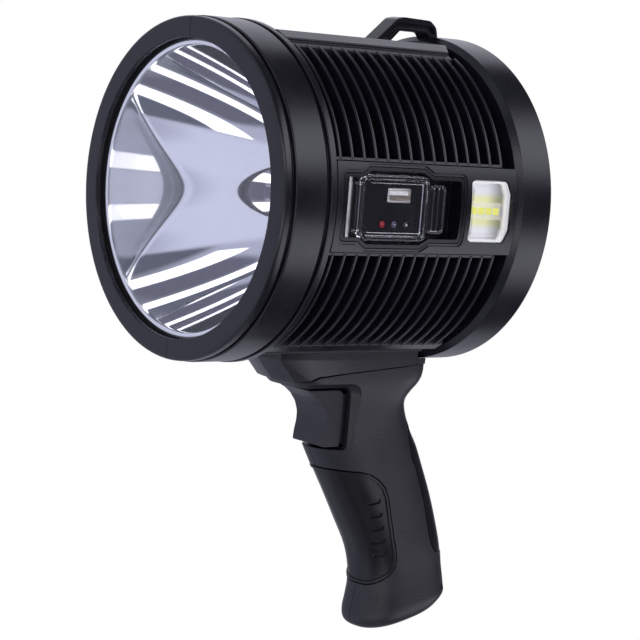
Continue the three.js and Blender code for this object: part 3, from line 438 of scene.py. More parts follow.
def plastic(name, colour, rough, grain=1400.0, depth=0.02, strength=0.25, edge=0.35, spec=0.5):
    """Moulded plastic: a faint mottled colour, a grained surface and softened edges."""
    tree = new_material(name)
    mottle = noise(tree, 60.0, 4.0)
    light = tuple(min(1, c * 1.18 + 0.001) for c in colour)
    dark = tuple(c * 0.88 for c in colour)
    solid(tree, {
        "Base Color": ramp(tree, mottle, dark, light),
        "Roughness": ramp(tree, mottle, rough * 0.92, min(1, rough * 1.08)),
        "Normal": bump(tree, noise(tree, grain, 2.0, 0.6), strength, depth, edge),
        "Specular IOR Level": spec,
    })


def metal(name, colour, rough):
    """Brushed or plated metal with a faint mottle."""
    tree = new_material(name)
    mottle = noise(tree, 300.0, 3.0)
    light = tuple(min(1, c * 1.04) for c in colour)
    dark = tuple(c * 0.96 for c in colour)
    solid(tree, {
        "Base Color": ramp(tree, mottle, dark, light),
        "Roughness": ramp(tree, mottle, rough * 0.85, rough * 1.15),
        "Normal": bump(tree, mottle, 0.1, 0.01),
        "Metallic": 1.0,
    })


def clear(name, tint, rough=0.0):
    """Clear plastic or glass, which also lets the light through to what it covers."""
    tree = new_material(name)
    mottle = noise(tree, 25.0, 2.0)
    low = tuple(c * 0.97 for c in tint)
    body = add(tree, "BsdfPrincipled", {
        "Base Color": ramp(tree, mottle, low, tint), "Roughness": rough, "IOR": 1.49,
        "Transmission Weight": 1.0, "Normal": bump(tree, mottle, 0.05, 0.02),
    })["BSDF"]
    passing = add(tree, "BsdfTransparent", {"Color": opaque([c * 0.94 for c in tint])})["BSDF"]
    surface(tree, by_ray(tree, "Is Shadow Ray", body, passing))


def lit(tree, shade, strength, rough, **more):
    """A surface that gives off a little of its own colour: light of a lamp, or painted light on a piece
    that is no lamp.
    """
    solid(tree, {"Base Color": shade, "Emission Color": shade, "Emission Strength": strength,
                 "Roughness": rough, **more})


def glow(name, colour, strength):
    """A pale piece that gives off a little light of its own: a lamp's phosphor, or painted light on a
    piece that is no lamp.
    """
    tree = new_material(name)
    dark = tuple(c * 0.85 for c in colour)
    lit(tree, ramp(tree, noise(tree, 900.0, 2.0), dark, colour), strength, 0.35)


def indicator_light(name, centre, core, dim, ring, strength):
    """A small lamp seen end on: a bright core, a dim lens and a lit ring round it."""
    tree = new_material(name)
    t, z = centre
    radius = distance(tree, (0, 1, 1), (0, (t - HEAD) * MM, z * MM))
    stops = [(0.0, core), (0.35, core), (0.55, dim), (0.95, dim), (1.15, ring), (1.4, ring), (1.62, dim)]
    lit(tree, ringed(tree, radius, stops, 2.0), strength, 0.2)


def mirror_material(name):
    """Bright coating on the bowl, with a pale matt rim and black beyond it. The pale rim is a painted
    reflection that also glows a little.
    """
    tree = new_material(name)
    radius = distance(tree, (1, 0, 1))
    bright, pale, black = (0.93, 0.93, 0.955), (0.66, 0.67, 0.80), (0.01, 0.01, 0.013)

    def rings(inner, middle, outer):
        edges = [(0, inner), (69.2, inner), (69.3, middle), (70.8, middle), (70.9, outer), (76, outer)]
        return ringed(tree, radius, edges, 76)

    solid(tree, {
        # Painted reflection: the pale rim stands in for what the bowl's flat rim mirrors, with a painted
        # glow at the same radii.
        "Base Color": rings(bright, pale, black), "Roughness": rings(0.025, 0.6, 0.6),
        "Metallic": rings(1, 0, 0), "Emission Color": rings(0, pale, 0), "Emission Strength": 0.45,
        "Normal": bump(tree, noise(tree, 40.0, 3.0), 0.02, 0.01),
    })


def lamp_tray_material(name, start):
    """White tray with painted light and shade: the chips' colour painted on its floor in level bands as
    spilt light, lilac bands of painted shade, the floor darker to the rear as painted shade, and a faint
    painted glow.
    """
    tree = new_material(name)
    place = add(tree, "SeparateXYZ", {"Vector": place_on(tree)})
    pale, painted_spill_lemon, painted_shade_lilac = (0.80, 0.80, 0.82), (0.80, 0.80, 0.46), (0.58, 0.57, 0.60)
    # Lemon bands are painted light spilt from the chips; lilac bands are painted shade.
    stops = [(0, painted_shade_lilac), (1.4, painted_shade_lilac), (2.8, painted_spill_lemon), (6.0, painted_spill_lemon), (8.8, pale), (10.4, pale),
             (12.6, painted_shade_lilac), (14, painted_shade_lilac)]
    bands = ringed(tree, maths(tree, "ABSOLUTE", place["Z"]), stops, 16)
    # Painted shade: the floor darkens towards the rear.
    painted_rear_shade = span_map(tree, place["Y"], (start + 14 - HEAD) * MM, (start + 26 - HEAD) * MM, 1.0, 0.36)
    rear_shaded_bands = add(tree, "VectorMath", {0: bands, "Scale": painted_rear_shade}, operation="SCALE")["Vector"]
    up_the_wall = span_map(tree, place["X"], 75.6 * MM, 78.2 * MM, kind="LINEAR")
    shade = blend(tree, up_the_wall, rear_shaded_bands, (0.86, 0.86, 0.87, 1))
    # The tray is no lamp: its glow is painted light.
    lit(tree, shade, 0.38, 0.35, Normal=bump(tree, noise(tree, 300.0, 2.0), 0.2, 0.03))


mirror_material("bright_coating")
plastic("housing_black", (0.0060, 0.0058, 0.0096), 0.27, 1000.0, 0.06, 0.6)
plastic("grip_black", (0.0110, 0.0102, 0.0142), 0.42, 800.0, 0.13, 0.9)
plastic("trigger_black", (0.0155, 0.0145, 0.0190), 0.38, 800.0, 0.08, 0.7)
plastic("inner_black", (0.0036, 0.0035, 0.0055), 0.26, 900.0, 0.02, 0.3, spec=0.3)
plastic("soft_insert", (0.0030, 0.0030, 0.0040), 0.30, 1300.0, 0.04, 0.4, spec=0.4)
plastic("seal_rubber", (0.012, 0.012, 0.012), 0.7)
plastic("white_plastic", (0.72, 0.72, 0.70), 0.4, edge=0.15)
plastic("circuit_green", (0.01, 0.09, 0.035), 0.4, edge=0)
plastic("circuit_dark", (0.008, 0.009, 0.012), 0.45, edge=0)
plastic("cell_wrap", (0.03, 0.16, 0.32), 0.3, edge=0)
metal("sink_metal", (0.70, 0.71, 0.73), 0.38)
metal("plated_steel", (0.76, 0.72, 0.70), 0.34)
clear("front_glass", (0.985, 0.988, 0.995))
clear("clear_cover", (0.97, 0.972, 0.98))
clear("lamp_lens", (0.985, 0.985, 0.995), rough=0.11)
glow("phosphor", (0.80, 0.80, 0.17), 0.55)
# The socket's tongue is no lamp: this glow is painted light on it.
glow("socket_white", (0.80, 0.80, 0.80), 0.30)

# Head: radii of its rings, and stations from the front face back

BEZEL_R, BAND_R, FLANGE_R, FIN_R, ROOT_R, LIP_R = 82.5, 83.0, 83.4, 82.4, 73.4, 72.1
BEZEL_END, BAND_START, BAND_END, FLANGE_START, FLANGE_END = 4.7, 6.6, 24.7, 26.7, 30.4
BEZEL_CUT_R, BAND_CUT_R = 80.9, 81.4
SEAT_R, SEAT_START, SEAT_END = 76.1, 2.4, 8.6
SHELL_R, SHELL_START = 70.6, 30
FIN_START, FIN_PITCH, FIN_T, FIN_COUNT = 32.8, 7.22, 1.8, 15
FIN_END = FIN_START + (FIN_COUNT - 1) * FIN_PITCH + FIN_T
FIN_FOOT_R = 71.8
RAIL_START, RAIL_END = 30.1, FIN_END + 4.3
CAP_START = FIN_END + 8.2
TAIL_END = CAP_START + 14.4
PLATE_START, PLATE_END = 30.7, CAP_START - 0.3
# Heights at which the wall, the ledge along the plate and the fins start.
WALL_LOW, LEDGE_LOW, LEDGE_HIGH, FIN_LOW = 20, 21.4, 22.8, 22.2
# Widths at which the fins meet the deck above and the keel below.
DECK_SIDE, KEEL_SIDE = 38.6, 41.2
# The hole in the deck for the front tongue of the strap loop.
TONGUE_SLOT = ((-2.6, 112.9, 74.2), (2.6, 120.5, 90))


def head_profile():
    """Bezel, band and flange with the grooves between them, and the seat of the front glass."""
    return eased([
        (LIP_R, 0, 0.5), (BEZEL_R, 0, 3.0), (BEZEL_R, BEZEL_END, 0.5), (BEZEL_CUT_R, BEZEL_END, 0.1),
        (BEZEL_CUT_R, BAND_START, 0.1), (BAND_R, BAND_START, 1.7), (BAND_R, BAND_END, 0.5),
        (BAND_CUT_R, BAND_END, 0.1), (BAND_CUT_R, FLANGE_START, 0.1), (FLANGE_R, FLANGE_START, 0.6),
        (FLANGE_R, FLANGE_END, 0.5), (ROOT_R - 1, FLANGE_END, 0.2), (ROOT_R - 1, 28.2, 0), (79, 26, 0),
        (79, 13.4, 0), (LIP_R, 11, 0), (LIP_R, SEAT_END, 0), (SEAT_R, SEAT_END, 0),
        (SEAT_R, SEAT_START, 0), (LIP_R, SEAT_START, 0.4),
    ], 5)


def deck():
    """The flat top between the fins, narrower towards the rear."""
    piece = raw("deck", along(eased([
        (SEAM, 68, 0), (39.5, 58, 0), (39.5, 72.0, 0.8), (36, 73.9, 0.5), (36, 75.5, 0.8), (28, 79, 1.5),
        (SEAM, 79, 0.3),
    ]), RAIL_START, RAIL_END))
    plan = eased([(-2, 20, 0), (60, 20, 0), (60, RAIL_END - 7.5, 0), (36, RAIL_END - 7.5, 5),
                  (24, RAIL_END, 5), (-2, RAIL_END, 0)], 5)
    keep(piece, upward(plan, 40, 90))
    return carve(piece, [brick(*TONGUE_SLOT)])


def keel():
    """The stepped rail underneath, which the saddle hangs from."""
    return raw("keel", along(eased([
        (SEAM, -68, 0), (42, -56, 0), (42, -70.7, 0.8), (36.5, -73.9, 0.6), (27, -74.9, 0.3),
        (27, -76.6, 0.5), (SEAM, -76.6, 0),
    ]), RAIL_START, RAIL_END))


def fin(start):
    """Profile of one fin, a little thicker at its foot."""
    return eased([(FIN_FOOT_R, start - 0.25, 0), (FIN_R, start + 0.05, 0.7),
                  (FIN_R, start + FIN_T - 0.05, 0.7), (FIN_FOOT_R, start + FIN_T + 0.25, 0)])


def head_half(side, word):
    parts = [revolve(head_profile(), at_width(SEAM, -1), at_width(SEAM), TURN_STEPS // 2)]
    wall = [(SHELL_R, SHELL_START), (ROOT_R, SHELL_START), (ROOT_R, TAIL_END), (SHELL_R, TAIL_END)]
    parts += [revolve(wall, at_height(up * WALL_LOW), at_width(SEAM, up), 48) for up in (1, -1)]
    ledge = eased([(71.5, SHELL_START, 0), (82.0, SHELL_START, 0.3), (82.0, FIN_END, 0.6),
                   (71.5, FIN_END, 0)], 3)
    parts += [revolve(ledge, at_height(up * LEDGE_LOW), at_height(up * LEDGE_HIGH), 4) for up in (1, -1)]
    for k in range(FIN_COUNT):
        profile = fin(FIN_START + k * FIN_PITCH)
        parts.append(revolve(profile, at_height(FIN_LOW), at_width(DECK_SIDE), 40))
        parts.append(revolve(profile, at_height(-FIN_LOW), at_width(KEEL_SIDE, -1), 40))
    if side > 0:
        # Strips behind the seam of the front ring keep light from showing through it.
        parts.append(brick((-0.4, 1.2, 72.8), (0.6, 29.0, 80.2)))
        parts.append(brick((-0.4, 1.2, -80.2), (0.6, 29.0, -72.8)))
    shell = raw(f"head_shell_{word}", *parts)
    join_objects(shell, [chamfer(deck(), 0.35, 2, 40), keel()])
    return shell if side > 0 else flip_side(shell)


for side, word in SIDES:
    finish(head_half(side, word), "housing_black", f"barrel_{word}")

# Rear cap

CAP_WALL_R, CAP_FACE_T = 80.4, 3
SCREW_RING_R, SCREW_R, BOSS_R, SCREW_DEPTH = 65.3, 3.3, 5.4, 4.4


def rear_cap():
    """A plain cup with a chamfered front edge, a fine ring line and four screw wells."""
    cap = raw("cap_shell", revolve(eased([
        (74.0, CAP_START + 0.6, 0.6), (80.7, CAP_START + 1.3, 0.2), (FLANGE_R, CAP_START + 4.1, 0.8),
        (FLANGE_R, HEAD, 1.5), (61.2, HEAD, 0.3), (60.9, HEAD - 0.7, 0.2), (59.7, HEAD - 0.7, 0.2),
        (59.4, HEAD, 0.3), (AXIS_R, HEAD, 0), (AXIS_R, HEAD - CAP_FACE_T, 0),
        (CAP_WALL_R, HEAD - CAP_FACE_T, 0), (CAP_WALL_R, CAP_START + 5, 0), (74.0, CAP_START + 3, 0),
    ], 6)))
    angles = [pi / 4 + k * pi / 2 for k in range(4)]
    spots = [(SCREW_RING_R * cos(a), SCREW_RING_R * sin(a)) for a in angles]
    wells = [rod("y", SCREW_R, HEAD - SCREW_DEPTH, HEAD + 5, *spot, 48) for spot in spots]
    carve(cap, wells)
    bosses = []
    for spot, well in zip(spots, wells):
        boss = raw("boss", rod("y", BOSS_R, HEAD - 10.5, HEAD - 2.8, *spot, 48))
        bosses.append(carve(boss, [well]))
    return join_objects(cap, bosses)


finish(rear_cap(), "housing_black", "rear_cap")

# Front glass and bowl

LENS_R, LENS_FRONT, LENS_BACK = 75.7, 3.8, 6.2


def front_glass():
    """A flat disc. The rings between its axis and its edge keep the shading flat."""
    front = [(AXIS_R, LENS_FRONT, 0), (40, LENS_FRONT, 0), (74, LENS_FRONT, 0), (LENS_R, LENS_FRONT, 0.4)]
    rear = [(r, LENS_BACK, rounding) for r, _, rounding in reversed(front)]
    return raw("lens_disc", revolve(eased(front + rear, 3)))


finish(front_glass(), "front_glass", "front_lens", angle=25)


def reflector():
    """A paraboloid from its rim back to the hole for the lamp, with a wall and a flange."""
    rim, hole, front, deep, neck = 69.0, 18.5, 6.9, 91.83, 95.4
    wall, flange_r, flange_front, flange_back, neck_r = 1.8, 75.6, 6.5, 8.3, 21.0
    focus = (rim ** 2 - hole ** 2) / (4 * (deep - front))
    vertex = front + rim ** 2 / (4 * focus)
    radii = [rim + (hole - rim) * i / 96 for i in range(97)]
    inner = [(r, vertex - r * r / (4 * focus)) for r in radii]
    outer = []
    for r, t in inner[::6]:
        slope = r / (2 * focus)
        lean = hypot(slope, 1)
        outer.append((r + wall * slope / lean, t + wall / lean))
    outer = [(r, t) for r, t in outer if r > neck_r + 0.4]
    outer[0] = (outer[0][0], flange_back)
    profile = [(flange_r, flange_front), (69.8, flange_front), (69.25, 6.6)] + inner
    profile += [(hole, neck), (neck_r, neck)] + outer[::-1] + [(flange_r, flange_back)]
    return raw("bowl", revolve(profile, steps=FINE_STEPS))


finish(reflector(), "bright_coating", "reflector", angle=40, weighted=False)

# Side plates, charging bay and the side lamp's opening

PLATE_R, PLATE_HALF = 74.0, 21.1
BAY_START, BAY_HALF, BAY_WIDE = 34.7, 16.1, 19.2
LAMP_END = PLATE_END - 2.8
LAMP_START = LAMP_END - 27.1
BAY_END = LAMP_START - 3.9
LAMP_HALF, LAMP_NOSE_HALF, LAMP_NOSE = 15.2, 8.6, 3.4


def bay_outline(drawn, radius):
    """The bay's opening, drawn in and with its roundings scaled by radius."""
    upper = [(BAY_START, BAY_HALF), (BAY_START + 11.1, BAY_HALF), (BAY_START + 16.1, BAY_WIDE),
             (BAY_START + 50.1, BAY_WIDE), (BAY_START + 55.1, BAY_HALF), (BAY_END, BAY_HALF)]
    pts = inset(upper + [(t, -z) for t, z in reversed(upper)], drawn)
    sizes = [2.6, 1.4, 1.4, 1.4, 1.4, 2.6]
    return rounded(pts, [max(0.4, size * radius) for size in sizes + sizes[::-1]], 5)


def lamp_outline(drawn, radius=1.0):
    """The side lamp's window, with its rear corners cut off."""
    upper = [(LAMP_START, LAMP_HALF), (LAMP_END - LAMP_NOSE, LAMP_HALF), (LAMP_END, LAMP_NOSE_HALF)]
    pts = inset(upper + [(t, -z) for t, z in reversed(upper)], drawn)
    sizes = [3.0, 1.6, 2.5]
    return rounded(pts, [size * radius for size in sizes + sizes[::-1]], 5)


def side_plate(name):
    """A plate bent round the side of the barrel."""
    profile = eased([(PLATE_R, PLATE_START, 0), (FLANGE_R, PLATE_START, 0.4), (FLANGE_R, PLATE_END, 0.4),
                     (PLATE_R, PLATE_END, 0)], 3)
    return raw(name, revolve(profile, at_height(-PLATE_HALF), at_height(PLATE_HALF), 64))


def open_plate():
    """The left plate with its two openings and a shallow step round the bay."""
    plate = side_plate("side_panel")
    carve(plate, [across(bay_outline(0, 1), INSIDE, OUTSIDE), across(lamp_outline(0), INSIDE, OUTSIDE)])
    step = raw("step", across(bay_outline(-1.25, 1.3), INSIDE, OUTSIDE))
    carve_by(plate, carve(step, [drum(82.75)]))
    return chamfer(plate, 0.25, 2, 50)


finish(open_plate(), "housing_black", "side_plate_left")
blank_plate = flip_side(chamfer(side_plate("side_panel_blank"), 0.3, 2, 50))
finish(blank_plate, "housing_black", "side_plate_right")

SOCKET_HALF, SOCKET_RISE, SOCKET_FIT = 7.3, 3.45, 0.3
SOCKET_T = BAY_START + 31.1 + SOCKET_HALF + 2.1
SOCKET_Z = 5.7
INDICATORS = [(BAY_START + 31.0 + 7.4 * k, -8.1) for k in range(3)]
INDICATOR_R, INDICATOR_HOLE_R = 1.65, 2.0
BAY_FLOOR_X = 73.7


def bay():
    """The bay's liner, with holes for the socket and the indicators."""
    tub = raw("bay_liner", across(bay_outline(0.3, 1), 71.2, OUTSIDE))
    keep(tub, drum(82.6))
    half, rise = SOCKET_HALF + SOCKET_FIT, SOCKET_RISE + SOCKET_FIT
    cuts = [across(bay_outline(2.1, 0.7), BAY_FLOOR_X, OUTSIDE),
            brick((INSIDE, SOCKET_T - half, SOCKET_Z - rise), (90, SOCKET_T + half, SOCKET_Z + rise))]
    cuts += [rod("x", INDICATOR_HOLE_R, INSIDE, 90, t, z) for t, z in INDICATORS]
    return carve(tub, cuts)


finish(bay(), "inner_black", "bay_tub")


def socket():
    """The socket's sheet shell. Its lips flare out at the front."""
    ring = [(SOCKET_T + u * SOCKET_HALF, SOCKET_Z + v * SOCKET_RISE)
            for u, v in ((-1, -1), (1, -1), (1, 1), (-1, 1))]
    rings = [(0, 60.1), (0, 73.55), (0.1, 73.66), (0.8, 73.95), (0.82, 73.9), (0.82, 60.8)]
    return raw("socket_shell", loops_to_part([
        layer(rounded(inset(ring, drawn), 0.9, 4), x) for drawn, x in rings]))


finish(socket(), "plated_steel", "usb_shell")
tongue = raw("socket_tongue", brick((61.0, SOCKET_T - 5.8, SOCKET_Z + 0.05),
                                    (73.3, SOCKET_T + 5.8, SOCKET_Z + 2.05)))
chamfer(tongue, 0.25)
# Painted glow lightens the tongue deep in the socket's shade.
finish(tongue, "white_plastic", "usb_tongue", look="socket_white")

# Of each indicator: colours of its core, its lens and its ring, and how strongly it glows.
LIGHT_TINTS = [
    ("red_light", (0.78, 0.07, 0.07), (0.02, 0.001, 0.002), (0.36, 0.012, 0.018), 0.45),
    ("grey_light", (0.30, 0.32, 0.42), (0.012, 0.013, 0.018), (0.10, 0.11, 0.16), 0.5),
    ("grey_light_end", (0.65, 0.66, 0.70), (0.006, 0.006, 0.009), (0.03, 0.03, 0.045), 0.6),
]
for k, (t, z) in enumerate(INDICATORS):
    look, *tints = LIGHT_TINTS[k]
    indicator_light(look, (t, z), *tints)
    lamp = raw(f"indicator_dome_{k + 1}", rod("x", INDICATOR_R, 60.2, 74.2, t, z, 40, dome=0.6))
    slot = "red_light" if k == 0 else "grey_light"
    finish(lamp, slot, f"indicator_{k + 1}", look=look, angle=50)

# Clear cover: its hollow box, its hinge plate in front and its finger tab behind

BOX_START = BAY_START + 12.3
BOX_END = BOX_START + 40.6
TAB_END = BOX_END + 10.9
HINGE_T, HINGE_X = BAY_START + 4.9, 80.0
KNUCKLE_R, PIN_HOLE_R, HINGE_HALF = 2.4, 1.18, 11.8


def rimmed(name, points, radius, rings):
    """A plate with a stepped rim. rings are (inset, x), from its back edge round to its face."""
    loops = []
    for drawn, x in rings:
        loops.append(layer(rounded(inset(points, drawn), max(0.5, radius - drawn), 7), x))
    return raw(name, loops_to_part(loops))


def block(t0, t1, half):
    return [(t0, half), (t1, half), (t1, -half), (t0, -half)]


def cover():
    walls = block(BOX_START, BOX_END, 15.4)
    box = rimmed("cover", walls, 4.2, [
        (0, 77.6), (0, 81.0), (0.1, 81.45), (0.4, 81.8), (0.85, 81.95), (1.55, 81.95), (1.8, 81.86),
        (1.98, 81.5), (2.1, 81.4), (3.5, 81.4), (3.75, 81.32), (3.92, 81.0), (4.05, 80.9)])
    carve_by(box, rimmed("hollow", walls, 4.2, [(2.0, 70), (2.0, 78.6), (2.3, 79.0), (2.8, 79.15)]))
    rim = [(0, 79.6), (0, 80.9), (0.12, 81.15), (0.4, 81.3), (0.95, 81.3), (1.2, 81.15), (1.35, 80.85)]
    pieces = [
        rimmed("hinge_plate", block(HINGE_T - 1.6, BOX_START + 0.6, HINGE_HALF), 0.8, rim),
        rimmed("finger_tab", block(BOX_END - 0.6, TAB_END, 11.6), 3.4,
               [(drawn, x + 0.3) for drawn, x in rim]),
        raw("knuckle", rod("z", KNUCKLE_R, -HINGE_HALF, HINGE_HALF, HINGE_X, HINGE_T, 48)),
    ]
    pieces += [raw("rib", brick((80.4, t, -10.6), (81.25, t + wide, 10.6)))
               for t, wide in ((HINGE_T + 2.1, 0.5), (HINGE_T + 3.9, 1.0))]
    pieces += [raw("rib", brick((80.7, BOX_END + t, -10.2), (81.45, BOX_END + t + 0.45, 10.2)))
               for t in (3.0, 4.6, 6.2)]
    for piece in pieces:
        unite(box, piece)
    return carve(box, [rod("z", PIN_HOLE_R, -20, 20, HINGE_X, HINGE_T, 32)])


finish(cover(), "clear_cover", "port_cover", body="cover")

# Side lamp

TRAY_FLOOR_X = 75.3
CHIP_HALF, CHIP_PITCH = 1.7, 4.8
LAMP_MIDDLE = (LAMP_START + LAMP_END) / 2
lamp_tray_material("lamp_white", LAMP_START)


def lamp_window():
    """The clear window with its bevelled edge, cut round by the head's own radius."""
    rings = [(0.3, 79.7), (0.3, 81.2), (0.4, 81.5), (1.9, 82.6), (2.2, 82.7)]
    window = raw("lamp_window", loops_to_part([layer(lamp_outline(drawn), x) for drawn, x in rings]))
    return keep(window, drum(FLANGE_R))


finish(lamp_window(), "lamp_lens", "side_lens")
tray = raw("lamp_tray", across(lamp_outline(0.3), 74.0, 79.5))
carve(tray, [across(lamp_outline(1.9, 0.6), TRAY_FLOOR_X, 90)])
finish(tray, "white_plastic", "side_lamp_tray", look="lamp_white")
for k in range(4):
    t = LAMP_MIDDLE + (k - 1.5) * CHIP_PITCH
    chip = brick((76.75, t - CHIP_HALF, -CHIP_HALF), (77.5, t + CHIP_HALF, CHIP_HALF))
    chip = chamfer(raw(f"lamp_chip_{k + 1}", chip), 0.15)
    finish(chip, "phosphor", f"side_led_{k + 1}")

# Strap loop: its reach along the deck and onto the cap, and its rise above the deck

LOOP_LENGTH, LOOP_RISE, LOOP_HALF = 40.7, 12.5, 5
LOOP_END = CAP_START + 8
LOOP_START = LOOP_END - LOOP_LENGTH
LOOP_BASE, LOOP_FOOT = 79.3, 83.7
# Where its recessed sides lie, and the two fine lines along its edges.
RECESS_X, LINE_X, LINE_HALF, LINE_DEPTH = 3.3, 2.1, 0.25, 0.55


def loop_place(a, u):
    """A point of the loop from its shares of length and rise."""
    return LOOP_START + a * LOOP_LENGTH, LOOP_BASE + u * LOOP_RISE


def strap_loop():
    outer = [(LOOP_START, LOOP_BASE), loop_place(0.324, 0.92), loop_place(0.425, 1),
             loop_place(0.867, 0.96), loop_place(0.973, 0.7), (LOOP_END, LOOP_FOOT - 0.6)]
    inner = [(CAP_START + 3.0, LOOP_FOOT - 1.9), loop_place(0.82, 0.45), loop_place(0.376, 0.45),
             loop_place(0.233, 0)]
    outline = rounded(outer + inner, [0.3, 4, 4, 5, 5, 0.3, 0.3, 3, 2.5, 0.3], 5)
    web = raw("loop", across(outline, -LOOP_HALF, LOOP_HALF))
    shares = [(0.094, 0.09, 0.5), (0.337, 0.775, 2.5), (0.865, 0.745, 3), (0.927, 0.65, 2),
              (0.954, 0.42, 0.5), (0.902, 0.41, 0.5), (0.829, 0.56, 2), (0.362, 0.56, 2),
              (0.172, 0.09, 0.5)]
    hollow = eased([(*loop_place(a, u), rounding) for a, u, rounding in shares])
    carve(web, [across(hollow, RECESS_X, 10), across(hollow, -10, -RECESS_X)])
    for x in (LINE_X, -LINE_X):
        line = raw("line", brick((x - LINE_HALF, 90, 70), (x + LINE_HALF, 170, 100)))
        carve_by(web, carve(line, [across(inset(outline, LINE_DEPTH), x - 1, x + 1)]))
    chamfer(web, 0.3, 2, 50)
    tongues = raw("tongue", brick((-2.3, 113.2, 74.5), (2.3, 120.2, 80)),
                  brick((-2.3, LOOP_END - 3, 80.7), (2.3, LOOP_END - 0.6, 84.2)))
    return join_objects(web, [tongues])


finish(strap_loop(), "housing_black", "strap_loop")

# Saddle

SADDLE_START, SADDLE_END = 54.6, 149.0
SADDLE_TOP, SADDLE_DEEP, SADDLE_HALF = -76.9, 16.7, 20.5
SADDLE_DRAFT = 0.0016
CAP_CLEAR_R = 83.7
# Shares of the saddle's length and depth along its seam with the grip.
SADDLE_SEAM = [(0.117, 0.98), (0.227, 0.93), (0.28, 0.8), (0.428, 0.7), (1, 0.44)]
# The nose seen from above: width, and how far that point lies behind the tip.
NOSE_PLAN = [(SEAM, 0), (5, 0.4), (10, 1.15), (16, 2.6), (18.3, 12), (19.6, 24), (SADDLE_HALF, 44)]


def saddle_place(a, d):
    return SADDLE_START + a * (SADDLE_END - SADDLE_START), SADDLE_TOP - d * SADDLE_DEEP


def beyond_seam(drop, far):
    """Outline from the seam of saddle and grip, lowered by drop, to a far height."""
    seam = [(t, z - drop) for t, z in (saddle_place(a, d) for a, d in SADDLE_SEAM)]
    first, last = seam[0][0] - 20, seam[-1][0] + 20
    line = [(first, seam[0][1])] + seam + [(last, seam[-1][1])]
    return rounded(line + [(last, far), (first, far)], [0, 0, 0.6, 3, 3, 0, 0, 0, 0], 4)


def saddle(side, word):
    """Half of the saddle: levels of the nose's plan, each drawn in with depth by the draft."""
    kink, low = saddle_place(0.005, 0.27), (68.0, -96.0)
    face = [(SADDLE_START, SADDLE_TOP)] + corner_arc((SADDLE_START, SADDLE_TOP), kink, low, 1.2, 4) + [low]
    levels = []
    for t, z in face:
        plan = [(x, t + setback) for x, setback in NOSE_PLAN]
        plan += [(SADDLE_HALF, SADDLE_END), (SEAM, SADDLE_END)]
        draft = 1 - SADDLE_DRAFT * (SADDLE_TOP - z)
        levels.append([(x * draft if x > 1 else x, y - HEAD, z) for x, y in plan])
    half = raw(f"saddle_cheek_{word}", loops_to_part(levels))
    carve(half, [across(beyond_seam(0, -130), -1, WIDE), drum(CAP_CLEAR_R, PLATE_END)])
    chamfer(half, 0.35, 2, 30)
    return half if side > 0 else flip_side(half)


for side, word in SIDES:
    finish(saddle(side, word), "housing_black", f"saddle_{word}")

# Grip: its frame of reference, and rows of shares from its top down

GRIP_START, GRIP_SPAN, GRIP_TOP, GRIP_DROP, GRIP_HALF = 58, 130, -80, 142.8, 20.5
BASE_SLOPE = 0.23
# Each row: drop, front edge, rear edge, width, share of the base's slope, squareness of the section.
GRIP_ROWS = [
    (0, 0, 0.746, 1, 0, 5), (0.077, 0.069, 0.742, 0.985, 0, 5), (0.108, 0.104, 0.726, 0.966, 0, 4.5),
    (0.136, 0.138, 0.7, 0.941, 0, 4), (0.167, 0.169, 0.682, 0.917, 0, 3.5),
    (0.223, 0.204, 0.7, 0.888, 0, 3), (0.286, 0.235, 0.744, 0.863, 0, 2.7),
    (0.348, 0.269, 0.792, 0.854, 0, 2.5), (0.418, 0.315, 0.829, 0.854, 0, 2.5),
    (0.523, 0.388, 0.882, 0.854, 0, 2.5), (0.627, 0.458, 0.925, 0.863, 0, 2.5),
    (0.732, 0.527, 0.96, 0.878, 0, 2.5), (0.801, 0.554, 0.972, 0.878, 0.1, 2.5),
    (0.857, 0.565, 0.985, 0.888, 0.25, 2.5), (0.902, 0.558, 0.9935, 0.902, 0.5, 2.5),
    (0.94, 0.549, 0.9962, 0.907, 0.8, 2.5), (0.967, 0.558, 0.978, 0.868, 1, 2.5),
    (0.988, 0.585, 0.946, 0.756, 1, 2.5), (0.9998, 0.619, 0.905, 0.61, 1, 2.5),
]
# Outlines of the two inserts, as shares along the grip's frame and down it.
FRONT_PAD = [
    (0, 0.415), (0.33, 0.415), (0.44, 0.422), (0.49, 0.433), (0.535, 0.455), (0.572, 0.487),
    (0.592, 0.526), (0.612, 0.592), (0.636, 0.668), (0.657, 0.728), (0.664, 0.764), (0.66, 0.792),
    (0.644, 0.817), (0.61, 0.842), (0.575, 0.862), (0.49, 0.872), (0, 0.872),
]
REAR_PAD = [
    (0.9, 0.2), (0.735, 0.215), (0.69, 0.25), (0.686, 0.31), (0.705, 0.38), (0.732, 0.42),
    (0.76, 0.48), (0.785, 0.54), (0.808, 0.61), (0.828, 0.68), (0.848, 0.722), (0.88, 0.752),
    (0.93, 0.765), (1.1, 0.765),
]


def smooth_rows(rows, per_span):
    """Rows filled in by smooth curves, whose slopes allow for uneven steps between the rows."""
    table = np.array(rows, float)
    last = len(table) - 1
    out = []
    for i in range(last):
        here, after = table[i], table[i + 1]
        span = after[0] - here[0]
        leave = arrive = after - here
        if i > 0:
            before = table[i - 1]
            leave = ((here - before) / (here[0] - before[0]) * span + (after - here)) / 2
        if i + 1 < last:
            beyond = table[i + 2]
            arrive = ((after - here) + (beyond - after) / (beyond[0] - after[0]) * span) / 2
        for k in range(per_span):
            t = k / per_span
            out.append((2 * t ** 3 - 3 * t ** 2 + 1) * here + (t ** 3 - 2 * t ** 2 + t) * leave
                       + (-2 * t ** 3 + 3 * t ** 2) * after + (t ** 3 - t ** 2) * arrive)
    out.append(table[-1])
    return out


def grip_place(a, d):
    """A point of the grip from its shares along its frame and down it."""
    return GRIP_START + a * GRIP_SPAN, GRIP_TOP - d * GRIP_DROP


